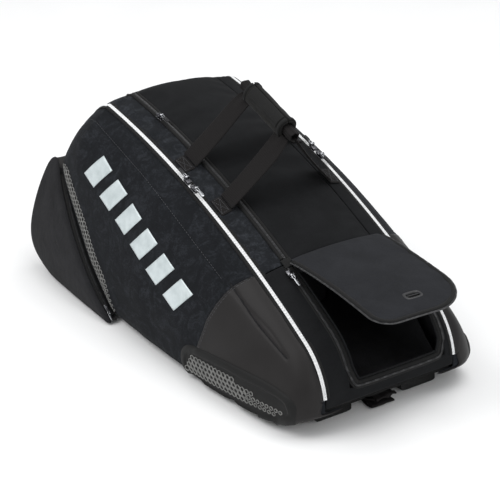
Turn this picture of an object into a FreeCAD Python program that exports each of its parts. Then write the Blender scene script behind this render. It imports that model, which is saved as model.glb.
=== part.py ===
"""A racket tournament bag: two racket compartments, a centre compartment and a ventilated shoe tunnel.

Millimetres, +Z up. The bag lies on its back panel. X runs along the bag towards the narrow shoe end,
+Y is the far side. The near and far compartments mirror each other about the plane y = 0.
The origin is at the bottom centre of the whole part, with the shoe flap standing open.
"""

import FreeCAD
import Part

import math
import os

from FreeCAD import Vector

# ---- driving dimensions -------------------------------------------------------------------------

WIDE_END = -362.0            # end face of the body at the wide end
NARROW_END = 384.0           # end face of the body at the shoe end
HALF_WIDTH = 219.0           # half width of the body at its widest station
WIDEST_X = -70.0             # station where the body is widest
WIDTH_FALL = 2.6e-4          # how fast the half width falls off, mm per mm squared
END_ROUND = 32.0             # plan radius of the four body corners
SEAM_Y = 124.1               # the two main zips lie at plus and minus this
SEAM_RADIUS = 1637.0         # the top line is one long arc in side view
SEAM_CENTRE = (-445.0, -1305.0)
SHOULDER_X = -262.0          # the wide end turns down from here
SHOULDER_Z = 319.0
SHOULDER_DROP = 223.0
NOSE_X = 330.0               # the nose turns down from here
NOSE_RADIUS = 106.0
NOSE_CENTRE = (280.0, 43.4)
CROWN = 14.0                 # rise of the top between the two seams
NOSE_LIFT = 40.0             # rise of the underside at the shoe end
NOSE_LIFT_X = 290.0
HEEL_ROUND = 30.0            # side view radius under the wide end
PRESSED_FLAT = 0.4           # how much of the skin's underside is pressed flat by the ground

SKIN = 3.2                   # padded cover fabric
GAP = 0.3                    # clearance between separate pieces
BASE_TOP = 23.0              # top of the padded back panel
BASE_BOTTOM = 13.0           # the shoulder straps are stowed below it
FLOOR_PANEL_TOP = 12.0       # upper edge of the compartment floors
CHAIN_HALF = 2.3             # width of one half of a zip chain
CHAIN_PROUD = 3.0            # how far a zip chain stands out of the skin

CENTRE_ZIP_Y = -73.0         # zip of the centre compartment
LID_FAR_Y = 94.0             # far edge of the centre lid, where it is sewn on
LID_X = (-286.0, 208.0)
LID_END_GAP = 1.1            # lets the raised lid pass the nose
SHOE_MOUTH_Y = (-78.0, 106.0)
SHOE_MOUTH_TOP = (214.0, 211.0)
SHOE_MOUTH_LOW = (374.0, 68.0)
FLAP_Y = (-73.0, 102.0)
FLAP_LENGTH = 236.0
FLAP_THICK = 4.0
FLAP_CORNER = 30.0
FLAP_FAR_CORNER = 76.0

POCKET_INNER_Y = 150.0       # the accessory pocket wraps the corner up to here
POCKET_WALL = 2.6
POCKET_UNDERCUT = (215.0, 15.0)    # nothing of a pocket lies further in and lower than this
STRAP_Y = (48.0, 118.0)
STRAP_THICK = 12.0

HANDLE_X = 12.0              # middle of a handle's two anchors
HANDLE_Y = 97.0
LEG_SPACING = 115.0
WEBBING_WIDTH = 38.0
WEBBING_THICK = 3.0
GRIP_RISE = 114.0            # height of the grip above the anchors
GRIP_HALF_LENGTH = 55.0
GRIP_RADIUS = 19.0
CORE_RADIUS = 10.0

POCKET_END = -369.0          # outermost point of the pockets at the wide end
ORIGIN_SHIFT = Vector(-(SHOE_MOUTH_TOP[0] + FLAP_LENGTH + POCKET_END) / 2, 0, 0)
FAR = 900.0                  # longer than the bag, for cutting blocks
NEAR_SIDE = -1
FAR_SIDE = 1

# ---- the body's surface -------------------------------------------------------------------------


def seam_height(x):
    """Height of the zip line above the ground at a station."""
    if x < SHOULDER_X:
        share = (SHOULDER_X - x) / (SHOULDER_X - WIDE_END)
        return SHOULDER_Z - SHOULDER_DROP * (1 - math.sqrt(max(0.0, 1 - share * share)))
    if x > NOSE_X:
        return NOSE_CENTRE[1] + math.sqrt(NOSE_RADIUS ** 2 - (x - NOSE_CENTRE[0]) ** 2)
    return SEAM_CENTRE[1] + math.sqrt(SEAM_RADIUS ** 2 - (x - SEAM_CENTRE[0]) ** 2)


def corner_inset(distance):
    """How far a rounded plan corner pulls the side in, at a distance from the end face."""
    if distance >= END_ROUND:
        return 0.0
    return END_ROUND - math.sqrt(END_ROUND ** 2 - (END_ROUND - distance) ** 2)


def half_width(x):
    """Half width of the body at a station."""
    straight = HALF_WIDTH - WIDTH_FALL * (x - WIDEST_X) ** 2
    return straight - corner_inset(min(x - WIDE_END, NARROW_END - x))


def underside(x):
    """Height of the underside at a station."""
    lift = 0.0
    reach = WIDE_END + HEEL_ROUND - x
    if x > NOSE_LIFT_X:
        lift = NOSE_LIFT * ((x - NOSE_LIFT_X) / (NARROW_END - NOSE_LIFT_X)) ** 2
    elif reach > 0:
        lift = HEEL_ROUND - math.sqrt(max(0.0, HEEL_ROUND ** 2 - reach ** 2))
    return lift - PRESSED_FLAT


def fullness(x):
    """How far the upper side bulges: puffier towards the wide end."""
    share = min(1.0, max(0.0, (-100.0 - x) / 150.0))
    return 0.58 + 0.16 * share


def section(x, grow):
    """Closed outline of the body at a station, grown outwards by a distance."""
    width = half_width(x) + grow
    top = seam_height(x) + grow
    low = underside(x) - grow
    rise = top - low
    half = [
        (width - 42, low),
        (width - 7, low + 0.045 * rise),
        (width, low + 0.20 * rise),
        (width - 0.06 * (width - SEAM_Y), low + 0.42 * rise),
        (SEAM_Y + fullness(x) * (width - SEAM_Y), low + 0.80 * rise),
        (SEAM_Y, top),
        (SEAM_Y / 2, top + 0.75 * CROWN),
    ]
    outline = half + [(0, top + CROWN)] + [(-y, z) for y, z in reversed(half)]
    station = x * (1 + grow / abs(WIDE_END))
    return [Vector(station, y, z) for y, z in outline]


def stations():
    """Stations along the bag: close together on the rounded ends, even along the seam's arc."""
    wide = [WIDE_END, -357, -345, -322, -294]
    even = [SHOULDER_X] + [-200 + 65 * step for step in range(9)]
    narrow = [345, 360, 372, 380, NARROW_END]
    return wide + even + narrow


def polygon(points):
    """Closed wire through the points."""
    return Part.makePolygon(list(points) + [points[0]])


def body(grow):
    """The whole body as one solid, grown outwards by a distance."""
    return Part.makeLoft([polygon(section(x, grow)) for x in stations()], True, True)


def box(x, y, z):
    """Block between the low and high ends of x, y and z."""
    block = Part.makeBox(x[1] - x[0], y[1] - y[0], z[1] - z[0])
    block.translate(Vector(x[0], y[0], z[0]))
    return block


def side_band(side, inner, outer, x=(-FAR, FAR), z=(-FAR, FAR)):
    """Block between two distances from the middle plane, on one side."""
    low, high = sorted((side * inner, side * outer))
    return box(x, (low, high), z)


def prism(profile, y):
    """Side view profile given as (x, z) points, extruded between two y values."""
    face = Part.Face(polygon([Vector(px, y[0], pz) for px, pz in profile]))
    return face.extrude(Vector(0, y[1] - y[0], 0))


def side_prism(profile, side, inner, outer):
    """Side view profile extruded between two distances from the middle plane."""
    low, high = sorted((side * inner, side * outer))
    return prism(profile, (low, high))


def inset(profile, distance):
    """A counterclockwise profile with its edges moved inwards by a distance."""
    moved = []
    count = len(profile)
    for index in range(count):
        before, here, after = (profile[(index + step) % count] for step in (-1, 0, 1))
        normals = []
        for start, end in ((before, here), (here, after)):
            length = math.hypot(end[0] - start[0], end[1] - start[1])
            normals.append((-(end[1] - start[1]) / length, (end[0] - start[0]) / length))
        mix = (normals[0][0] + normals[1][0], normals[0][1] + normals[1][1])
        scale = 2 * distance / (mix[0] ** 2 + mix[1] ** 2)
        moved.append((here[0] + mix[0] * scale, here[1] + mix[1] * scale))
    return moved


def export(name, shape):
    """Writes one sub-part, moved to the part's origin."""
    placed = shape.copy()
    placed.translate(ORIGIN_SHIFT)
    placed.exportStep("parts/" + name + ".step")


def joined(pieces):
    """Separate solids of one node, side by side."""
    return Part.makeCompound(pieces)


def side_name(side):
    return "near" if side == NEAR_SIDE else "far"


# ---- shells shared by several pieces ------------------------------------------------------------

OUTER = body(0)
INNER = body(-SKIN)
SHELL = OUTER.cut(INNER)
LINING = body(-SKIN - GAP)
PATCH_SKIN = body(1.7).cut(body(0.1))
TRIM_SKIN = body(CHAIN_PROUD).cut(body(0.1))
CLEAR_OF_BODY = body(0.5)
POCKET_BACK = body(3.2)


# ---- back panel, compartment floors, dividers, ends ---------------------------------------------


def base_panel():
    """Padded back panel, turned up under the nose. The straps are stowed beneath it."""
    profile = [
        (-346, BASE_BOTTOM),
        (300, BASE_BOTTOM),
        (378, 36),
        (376, 45),
        (298, BASE_TOP),
        (-346, BASE_TOP),
    ]
    return prism(profile, (-(SEAM_Y - GAP), SEAM_Y - GAP))


def floor_panel(side):
    """Floor of a racket compartment: the part of the skin that lies on the ground."""
    return SHELL.common(side_band(side, SEAM_Y + GAP, FAR, z=(0, FLOOR_PANEL_TOP)))


def divider(side):
    """Padded wall between a racket compartment and the centre."""
    wall = side_band(side, SEAM_Y - 5.5, SEAM_Y - 0.8, z=(BASE_TOP + GAP, FAR))
    over_nose_base = prism([(290, 0), (FAR, 0), (FAR, 47), (378, 47), (298, 24)], (-FAR, FAR))
    return LINING.common(wall).cut(over_nose_base)


def centre_shell():
    """Skin between the two main zips, above the back panel."""
    middle = box((-FAR, FAR), (-(SEAM_Y - GAP), SEAM_Y - GAP), (BASE_TOP + GAP, FAR))
    under_nose = prism([(290, 0), (FAR, 0), (FAR, 46), (377, 46), (298, 23.5)], (-FAR, FAR))
    return SHELL.common(middle).cut(under_nose)


CENTRE = centre_shell()


def wide_end_panel():
    return CENTRE.common(box((-FAR, LID_X[0] - GAP), (-FAR, FAR), (-FAR, FAR)))


def near_top_strip():
    return CENTRE.common(box((LID_X[0], LID_X[1]), (-FAR, CENTRE_ZIP_Y - 0.6), (100, FAR)))


def far_top_strip():
    return CENTRE.common(box((LID_X[0], LID_X[1]), (LID_FAR_Y + GAP, FAR), (100, FAR)))


def centre_lid():
    edges = (CENTRE_ZIP_Y + 0.6, LID_FAR_Y)
    return CENTRE.common(box((LID_X[0], LID_X[1] - LID_END_GAP), edges, (100, FAR)))


def nose_panel():
    """Skin round the shoe mouth: a strip on each side and the rim below."""
    nose = CENTRE.common(box((LID_X[1] + GAP, FAR), (-FAR, FAR), (-FAR, FAR)))
    sill = SHOE_MOUTH_LOW[1]
    mouth = prism([(200, 400), (200, 205), SHOE_MOUTH_LOW, (FAR, sill), (FAR, 400)], SHOE_MOUTH_Y)
    return nose.cut(mouth)


def shoe_tunnel():
    """Lined tunnel for one pair of shoes, open at the sloping mouth."""
    wall = 2.0
    back = 72.0
    outline = [
        (back, 26.0),
        (296, 26.0),
        (374, 48.0),
        (370, 60.0),
        (214, 186.0),
        (back, 180.0),
    ]
    hollow = [
        (back + wall, 26.0 + wall),
        (296, 26.0 + wall),
        (366, 50.0 + wall),
        (368, 90.0),
        (226, 202.0),
        (214, 186.0 - wall),
        (back + wall, 180.0 - wall),
    ]
    outside = prism(outline, (-75, 103))
    return outside.cut(prism(hollow, (-75 + wall, 103 - wall)))


# ---- racket compartments ------------------------------------------------------------------------

POCKET_OUTLINE = [
    (-92, 4),
    (-299, 174),
    (-326, 200),
    (-346, 212),
    (-356, 200),
    (-363, 150),
    (POCKET_END, 80),
    (-366, 52),
    (-350, 30),
    (-318, 12),
    (-290, 4),
]
POCKET_LEAN = [
    (100, 0), (230, 0), (236, 40), (234, 80), (226, 125), (214, 160), (196, 205), (172, 250), (100, 250)
]
STRIP_GAP = 6.0
STRIP_WIDTH = 12.0
CORNER_OUTLINE = [
    (110, -10),
    (400, -10),
    (400, 260),
    (235, 260),
    (216, 215),
    (200, 196),
    (184, 178),
    (172, 150),
    (160, 118),
    (156, 90),
    (150, 63),
    (124, 42),
]
HONEYCOMB_OUTLINE = [(123, 14), (270, 14), (337, 24), (362, 44), (350, 60), (226, 62), (146, 56), (124, 46)]
EMBLEM_START = (-216.0, 249.0)
EMBLEM_END = (114.0, 119.0)
EMBLEM_HEIGHT = 50.0
EMBLEM_BARS = 6
COVER_LOW = FLOOR_PANEL_TOP + GAP


def above_floor(side):
    return side_band(side, SEAM_Y + GAP, FAR, z=(COVER_LOW, FAR))


def side_cover(side):
    """Outer skin of a racket compartment, from the main zip down to the ground, with both ends."""
    return SHELL.common(above_floor(side))


def surface_patch(profile, side, outside=SEAM_Y + 5.0):
    """Thin layer on the cover's surface inside a side view outline."""
    return PATCH_SKIN.common(side_prism(profile, side, outside, FAR)).common(above_floor(side))


def strip_outline():
    """Perforated strip beside the pocket: follows the pocket's inner edge."""
    inner = inset(POCKET_OUTLINE, -STRIP_GAP)[0:3]
    outer = inset(POCKET_OUTLINE, -STRIP_GAP - STRIP_WIDTH)[0:3]
    return inner + outer[::-1]


def emblem_bars():
    """Generic badge: slanted bars in a row along the side."""
    run = (EMBLEM_END[0] - EMBLEM_START[0], EMBLEM_END[1] - EMBLEM_START[1])
    length = math.hypot(run[0], run[1])
    along = (run[0] / length, run[1] / length)
    across = (-along[1], along[0])
    pitch = length / EMBLEM_BARS
    bars = []
    for index in range(EMBLEM_BARS):
        left = index * pitch
        right = left + 0.62 * pitch
        lean = 0.30 * pitch
        corners = [(left, -0.5), (right, -0.5), (right + lean, 0.5), (left + lean, 0.5)]
        outline = []
        for distance, share in corners:
            height = share * EMBLEM_HEIGHT
            px = EMBLEM_START[0] + along[0] * distance + across[0] * height
            pz = EMBLEM_START[1] + along[1] * distance + across[1] * height
            outline.append((px, pz))
        bars.append(outline)
    return bars


def side_emblem(side):
    return joined([surface_patch(bar, side) for bar in emblem_bars()])


def corner_panel(side):
    panel = surface_patch(CORNER_OUTLINE, side)
    return panel.cut(side_prism(inset(HONEYCOMB_OUTLINE, -GAP), side, SEAM_Y, FAR))


def honeycomb_patch(side):
    return surface_patch(HONEYCOMB_OUTLINE, side)


def perforated_strip(side):
    return surface_patch(strip_outline(), side)


def pocket_block(side, outline, thinner):
    """Pocket outline filled out to its leaning face, less a skin thickness."""
    lean = [Vector(-FAR, side * (y - thinner), z) for y, z in POCKET_LEAN]
    leaning = Part.Face(polygon(lean)).extrude(Vector(2 * FAR, 0, 0))
    return side_prism(outline, side, POCKET_INNER_Y, FAR).common(leaning)


def pocket_shell(side):
    """Accessory pocket: back and gusset walls on the compartment's lower corner."""
    block = pocket_block(side, POCKET_OUTLINE, 0).cut(CLEAR_OF_BODY)
    block = block.cut(side_band(side, 0, POCKET_UNDERCUT[0], z=(-FAR, POCKET_UNDERCUT[1])))
    hollow = side_prism(inset(POCKET_OUTLINE, POCKET_WALL), side, 0, FAR).cut(POCKET_BACK)
    solids = sorted(block.cut(hollow).Solids, key=lambda solid: solid.Volume)
    return solids[-1]


def pocket_face(side):
    """Stiff outer face of the pocket, hinged on its outer edge."""
    thick = pocket_block(side, POCKET_OUTLINE, -(GAP + 2.4))
    return thick.cut(pocket_block(side, inset(POCKET_OUTLINE, -1), -GAP))


# ---- zips ---------------------------------------------------------------------------------------


def chain_half(side, inner, outer):
    """One half of a main zip chain, along the top and down both ends."""
    band = side_band(side, inner, outer, z=(64, FAR))
    return TRIM_SKIN.common(band)


def inner_chain(side):
    return chain_half(side, SEAM_Y - CHAIN_HALF, SEAM_Y - 0.1)


def outer_chain(side):
    return chain_half(side, SEAM_Y + 0.1, SEAM_Y + CHAIN_HALF)


def centre_chain(edge):
    """One half of the centre zip. The edge is -1 on the near strip and +1 on the lid."""
    low, high = sorted((CENTRE_ZIP_Y + edge * 0.1, CENTRE_ZIP_Y + edge * 2.6))
    return PATCH_SKIN.common(box((-250, 205), (low, high), (100, FAR)))


def slider_body(height):
    """Zip slider over the chain, with two lugs that carry the pull's pin. Local, pull towards +x."""
    plate = box((-8, 8), (-4.4, 4.4), (height, height + 2.8))
    lugs = [box((1.5, 5.5), y, (height + 2.8, height + 6.4)) for y in ((-4.2, -3.0), (3.0, 4.2))]
    pin = Part.makeCylinder(0.7, 7.2, Vector(3.5, -3.6, height + 5.0), Vector(0, 1, 0))
    return plate.fuse(lugs + [pin]).removeSplitter()


def slider_pull(height, length):
    """Pull tab: a sleeve on the slider's pin and a flat tab."""
    pivot = Vector(3.5, -2.7, height + 5.0)
    sleeve = Part.makeCylinder(1.7, 5.4, pivot, Vector(0, 1, 0))
    tab = box((3.5, 3.5 + length), (-2.7, 2.7), (height + 4.3, height + 5.7))
    bore = Part.makeCylinder(0.78, 9, Vector(3.5, -4.5, height + 5.0), Vector(0, 1, 0))
    return sleeve.fuse(tab).removeSplitter().cut(bore)


def on_seam(shape, x, y, rise, flip):
    """Moves a slider piece from its local place onto the top arc at a station."""
    placed = shape.copy()
    if flip:
        placed.rotate(Vector(0, 0, 0), Vector(0, 0, 1), 180)
    slope = math.degrees(math.asin((x - SEAM_CENTRE[0]) / SEAM_RADIUS))
    placed.rotate(Vector(0, 0, 0), Vector(0, 1, 0), slope)
    placed.translate(Vector(x, y, seam_height(x) + rise))
    return placed


SLIDER_LIFT = 5.2
PULL_LENGTH = 24.0
CENTRE_RISE = 9.0            # height of the crown at the centre zip, above the seam line
SHOE_RISE = 5.0              # the shoe zip's slider runs beside the mouth, lower on the crown
SLIDERS = {
    "near_left": (-8.0, -SEAM_Y, 0.0, True),
    "near_right": (14.0, -SEAM_Y, 0.0, False),
    "far_left": (-8.0, SEAM_Y, 0.0, True),
    "far_right": (14.0, SEAM_Y, 0.0, False),
    "centre": (-170.0, CENTRE_ZIP_Y - 5.0, CENTRE_RISE, False),
    "shoe": (228.0, SHOE_MOUTH_Y[0] - 6.0, SHOE_RISE, False),
}
POCKET_ZIP_ANGLE = math.degrees(math.atan2(170, 207))
POCKET_SLIDER_PLACE = (-113.6, 21.8)


def pocket_slider(side):
    """Slider and pull of a pocket zip, parked at the lower end of the pocket's slanting gusset."""
    plate = side_band(side, 223, 230, (-6, 6), (1, 5))
    tab = side_band(side, 224.5, 228.5, (6, 24), (2.2, 3.8))
    piece = plate.fuse(tab).removeSplitter()
    piece.rotate(Vector(0, 0, 0), Vector(0, 1, 0), POCKET_ZIP_ANGLE)
    piece.translate(Vector(POCKET_SLIDER_PLACE[0], 0, POCKET_SLIDER_PLACE[1]))
    return piece


# ---- shoe flap ----------------------------------------------------------------------------------


def flap_outline(margin):
    """Plan outline of the open flap as a wire with two round corners, inset by a margin."""
    x0 = SHOE_MOUTH_TOP[0] + 1.5
    x1 = SHOE_MOUTH_TOP[0] + FLAP_LENGTH - margin
    y0 = FLAP_Y[0] + margin
    y1 = FLAP_Y[1] - margin
    radius = FLAP_CORNER - margin
    bend = radius * (1 - math.sqrt(0.5))
    far_radius = FLAP_FAR_CORNER - margin
    far_bend = far_radius * (1 - math.sqrt(0.5))
    near = Part.Arc(
        Vector(x1 - radius, y0, 0), Vector(x1 - bend, y0 + bend, 0), Vector(x1, y0 + radius, 0)
    )
    far = Part.Arc(
        Vector(x1, y1 - far_radius, 0),
        Vector(x1 - far_bend, y1 - far_bend, 0),
        Vector(x1 - far_radius, y1, 0),
    )
    edges = [
        Part.LineSegment(Vector(x0, y0, 0), Vector(x1 - radius, y0, 0)).toShape(),
        near.toShape(),
        Part.LineSegment(Vector(x1, y0 + radius, 0), Vector(x1, y1 - far_radius, 0)).toShape(),
        far.toShape(),
        Part.LineSegment(Vector(x1 - far_radius, y1, 0), Vector(x0, y1, 0)).toShape(),
        Part.LineSegment(Vector(x0, y1, 0), Vector(x0, y0, 0)).toShape(),
    ]
    return Part.Wire(edges)


def flap_slab(margin, low, high):
    slab = Part.Face(flap_outline(margin)).extrude(Vector(0, 0, high - low))
    slab.translate(Vector(0, 0, SHOE_MOUTH_TOP[1] + low))
    return slab


VENT_PLACE = (406.0, 18.0)
VENT_SIZE = (11.0, 24.0)


def vent_hole(grow):
    x = (VENT_PLACE[0] - VENT_SIZE[0] / 2 - grow, VENT_PLACE[0] + VENT_SIZE[0] / 2 + grow)
    y = (VENT_PLACE[1] - VENT_SIZE[1] / 2 - grow, VENT_PLACE[1] + VENT_SIZE[1] / 2 + grow)
    return x, y


def shoe_flap():
    x, y = vent_hole(0)
    return flap_slab(5, 0, FLAP_THICK).cut(box(x, y, (0, FAR)))


def flap_binding():
    """Bound edge of the flap, which carries its half of the shoe zip."""
    ring = flap_slab(0, -1, FLAP_THICK + 1).cut(flap_slab(5 - 0.2, -5, FLAP_THICK + 5))
    return ring.cut(box((0, SHOE_MOUTH_TOP[0] + 8), (-FAR, FAR), (-FAR, FAR)))


def vent_eyelet():
    """Moulded vent in the flap: a frame on the outer face with a bar across it."""
    low = SHOE_MOUTH_TOP[1] + FLAP_THICK + 0.1
    outer_x, outer_y = vent_hole(2.5)
    x, y = vent_hole(-1.5)
    frame = box(outer_x, outer_y, (low, low + 1.6)).cut(box(x, y, (0, FAR)))
    bar = box((VENT_PLACE[0] - 0.8, VENT_PLACE[0] + 0.8), (y[0] - 1, y[1] + 1), (low, low + 1.6))
    return frame.fuse(bar).removeSplitter()


# ---- carry handles ------------------------------------------------------------------------------

HANDLE_SLOPE = math.degrees(math.asin((HANDLE_X - SEAM_CENTRE[0]) / SEAM_RADIUS))
HANDLE_Z = seam_height(HANDLE_X) + 9.0
HANDLE_LEAN = math.degrees(math.atan2(GRIP_RISE / math.cos(math.radians(HANDLE_SLOPE)), HANDLE_Y))
HANDLE_REACH = HANDLE_Y / math.cos(math.radians(HANDLE_LEAN))


def handle_place(shape):
    """Moves a handle piece from its flat local place to the near anchors."""
    placed = shape.copy()
    placed.rotate(Vector(0, 0, 0), Vector(1, 0, 0), HANDLE_LEAN)
    placed.rotate(Vector(0, 0, 0), Vector(0, 1, 0), HANDLE_SLOPE)
    placed.translate(Vector(HANDLE_X, -HANDLE_Y, HANDLE_Z))
    return placed


def mirrored(shape, side):
    """A near piece, or its mirror image on the far side."""
    if side == NEAR_SIDE:
        return shape
    return shape.mirror(Vector(0, 0, 0), Vector(0, 1, 0))


def own_half():
    """The near side of the plane where the two handles meet."""
    return box((-FAR, FAR), (-FAR, -0.4), (-FAR, FAR))


def handle_webbing(side):
    """Two webbing legs and the folded webbing core that runs through the grip."""
    thick = (-WEBBING_THICK / 2, WEBBING_THICK / 2)
    below_grip = HANDLE_REACH - GRIP_RADIUS - 1
    pieces = []
    for end in (-1, 1):
        middle = end * LEG_SPACING / 2
        leg = (middle - WEBBING_WIDTH / 2, middle + WEBBING_WIDTH / 2)
        pieces.append(box(leg, (1.5, below_grip), thick))
        low, high = sorted((end * (GRIP_HALF_LENGTH + 1), end * (LEG_SPACING + WEBBING_WIDTH) / 2))
        pieces.append(box((low, high), (below_grip, HANDLE_REACH), thick))
    length = LEG_SPACING + WEBBING_WIDTH
    start = Vector(-length / 2, HANDLE_REACH, 0)
    pieces.append(Part.makeCylinder(CORE_RADIUS, length, start, Vector(1, 0, 0)))
    whole = handle_place(pieces[0].fuse(pieces[1:]).removeSplitter())
    return mirrored(whole.common(own_half()), side)


def grip_pad(side):
    """Half of the padded grip. The two halves close round both handles."""
    start = Vector(-GRIP_HALF_LENGTH, HANDLE_REACH, 0)
    length = 2 * GRIP_HALF_LENGTH
    outside = Part.makeCylinder(GRIP_RADIUS, length, start, Vector(1, 0, 0))
    inside = Part.makeCylinder(CORE_RADIUS + 0.3, length, start, Vector(1, 0, 0))
    return mirrored(handle_place(outside.cut(inside)).common(own_half()), side)


def handle_anchors(side):
    """The two sewn-down webbing ends that carry a handle."""
    tabs = []
    for end in (-1, 1):
        middle = end * LEG_SPACING / 2
        leg = (middle - WEBBING_WIDTH / 2, middle + WEBBING_WIDTH / 2)
        tab = box(leg, (-17, 0.5), (-2.8, -0.2))
        tab.rotate(Vector(0, 0, 0), Vector(0, 1, 0), HANDLE_SLOPE)
        tab.translate(Vector(HANDLE_X, -HANDLE_Y, HANDLE_Z - 1.5))
        tabs.append(mirrored(tab, side))
    return joined(tabs)


# ---- shoulder straps stowed under the back panel ------------------------------------------------


def shoulder_strap(side):
    """Padded shoulder strap, thicker where it is folded and sewn to the nose."""
    profile = [
        (-150, GAP),
        (350, GAP),
        (352, 22),
        (330, 20),
        (300, STRAP_THICK),
        (-150, STRAP_THICK),
    ]
    return side_prism(profile, side, STRAP_Y[0], STRAP_Y[1])


def lower_webbings():
    """Flat webbing from each strap's adjuster to the wide end."""
    middle = sum(STRAP_Y) / 2
    return joined(
        [side_band(side, middle - 12.5, middle + 12.5, (-328, -182), (4, 6.5)) for side in (-1, 1)]
    )


def ladder_locks():
    """Ladder lock adjuster of each strap, with two slots."""
    middle = sum(STRAP_Y) / 2
    locks = []
    for side in (-1, 1):
        frame = side_band(side, middle - 22, middle + 22, (-180, -152), (2, 9))
        for slot_x in ((-175.5, -169.5), (-163, -157)):
            frame = frame.cut(side_band(side, middle - 14, middle + 14, slot_x, (0, 20)))
        locks.append(frame)
    return joined(locks)


def webbing_hank():
    """Spare webbing folded into a hank between the two straps."""
    profile = [(296, GAP), (368, GAP), (370, 24), (344, 24), (318, 14), (296, 11)]
    return prism(profile, (-24, 30))


# ---- everything ---------------------------------------------------------------------------------


def main():
    os.makedirs("parts", exist_ok=True)
    export("base_panel", base_panel())
    export("wide_end_panel", wide_end_panel())
    export("nose_panel", nose_panel())
    export("near_top_strip", near_top_strip())
    export("far_top_strip", far_top_strip())
    export("centre_lid", centre_lid())
    export("shoe_tunnel", shoe_tunnel())
    for side in (NEAR_SIDE, FAR_SIDE):
        name = side_name(side)
        export(name + "_floor_panel", floor_panel(side))
        export(name + "_divider", divider(side))
        export(name + "_side_cover", side_cover(side))
        export(name + "_corner_panel", corner_panel(side))
        export(name + "_honeycomb_patch", honeycomb_patch(side))
        export(name + "_perforated_strip", perforated_strip(side))
        export(name + "_side_emblem", side_emblem(side))
        export(name + "_pocket_shell", pocket_shell(side))
        export(name + "_pocket_face", pocket_face(side))
        export(name + "_pocket_slider", pocket_slider(side))
        export(name + "_zip_inner_chain", inner_chain(side))
        export(name + "_zip_outer_chain", outer_chain(side))
        export(name + "_handle_webbing", handle_webbing(side))
        export(name + "_grip_pad", grip_pad(side))
        export(name + "_handle_anchors", handle_anchors(side))
        export(name + "_shoulder_strap", shoulder_strap(side))
    export("centre_zip_strip_chain", centre_chain(-1))
    export("centre_zip_lid_chain", centre_chain(1))
    for name, (x, y, rise, flip) in SLIDERS.items():
        export(name + "_slider", on_seam(slider_body(SLIDER_LIFT), x, y, rise, flip))
        export(name + "_pull", on_seam(slider_pull(SLIDER_LIFT, PULL_LENGTH), x, y, rise, flip))
    export("shoe_flap", shoe_flap())
    export("flap_binding", flap_binding())
    export("vent_eyelet", vent_eyelet())
    export("strap_lower_webbings", lower_webbings())
    export("ladder_locks", ladder_locks())
    export("webbing_hank", webbing_hank())


main()
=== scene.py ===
"""Racket tournament bag: the looks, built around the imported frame. Metres; shape helpers work in mm."""

import math

import bpy
import numpy as np
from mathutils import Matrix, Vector, noise
from mathutils.bvhtree import BVHTree


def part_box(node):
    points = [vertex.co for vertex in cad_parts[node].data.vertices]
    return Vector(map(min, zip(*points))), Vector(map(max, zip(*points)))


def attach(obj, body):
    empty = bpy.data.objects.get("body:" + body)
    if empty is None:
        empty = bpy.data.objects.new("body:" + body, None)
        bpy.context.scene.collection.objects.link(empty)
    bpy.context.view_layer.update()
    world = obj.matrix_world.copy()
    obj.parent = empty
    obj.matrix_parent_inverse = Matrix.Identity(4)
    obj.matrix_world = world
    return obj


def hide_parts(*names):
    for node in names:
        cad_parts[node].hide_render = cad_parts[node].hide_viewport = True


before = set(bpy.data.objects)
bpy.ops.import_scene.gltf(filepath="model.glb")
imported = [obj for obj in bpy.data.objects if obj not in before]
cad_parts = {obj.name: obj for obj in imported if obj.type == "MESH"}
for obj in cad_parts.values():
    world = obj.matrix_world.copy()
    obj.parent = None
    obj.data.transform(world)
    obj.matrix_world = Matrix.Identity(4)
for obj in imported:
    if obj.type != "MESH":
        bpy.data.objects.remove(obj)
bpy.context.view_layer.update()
scene = bpy.context.scene

# ---- the bag's surface, in mm, x measured from the bag's own station zero ------------------------

BASE_START = -346.0
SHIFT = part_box("base_panel")[0].x * 1000 - BASE_START
WIDE_END, NARROW_END = -362.0, 384.0
HALF_WIDTH, WIDEST_X, WIDTH_FALL, END_ROUND = 219.0, -70.0, 2.6e-4, 32.0
S = 124.1
R, CX, CZ = 1637.0, -445.0, -1305.0
SHOULDER_X, SHOULDER_Z, SHOULDER_DROP = -262.0, 319.0, 223.0
NOSE_X, NOSE_R, NOSE_C = 330.0, 106.0, (280.0, 43.4)
CROWN, NOSE_LIFT, NOSE_LIFT_X, HEEL = 14.0, 40.0, 290.0, 30.0
ZIP_Y = -73.0
LID_FAR = 94.0
MOUTH_Y = (-78.0, 106.0)
LIP_Z = 68.0


def seam_z(x):
    if x < SHOULDER_X:
        share = (SHOULDER_X - x) / (SHOULDER_X - WIDE_END)
        return SHOULDER_Z - SHOULDER_DROP * (1 - math.sqrt(max(0.0, 1 - share * share)))
    if x > NOSE_X:
        return NOSE_C[1] + math.sqrt(NOSE_R ** 2 - (x - NOSE_C[0]) ** 2)
    return CZ + math.sqrt(R * R - (x - CX) ** 2)


def half_width(x):
    distance = min(x - WIDE_END, NARROW_END - x)
    pull = 0.0
    if distance < END_ROUND:
        pull = END_ROUND - math.sqrt(END_ROUND ** 2 - (END_ROUND - distance) ** 2)
    return HALF_WIDTH - WIDTH_FALL * (x - WIDEST_X) ** 2 - pull


def underside(x):
    if x > NOSE_LIFT_X:
        return NOSE_LIFT * ((x - NOSE_LIFT_X) / (NARROW_END - NOSE_LIFT_X)) ** 2
    reach = WIDE_END + HEEL - x
    if reach > 0:
        return HEEL - math.sqrt(max(0.0, HEEL ** 2 - reach ** 2))
    return 0.0


def crown(y):
    return CROWN * (1 - (y / S) ** 2)


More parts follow.
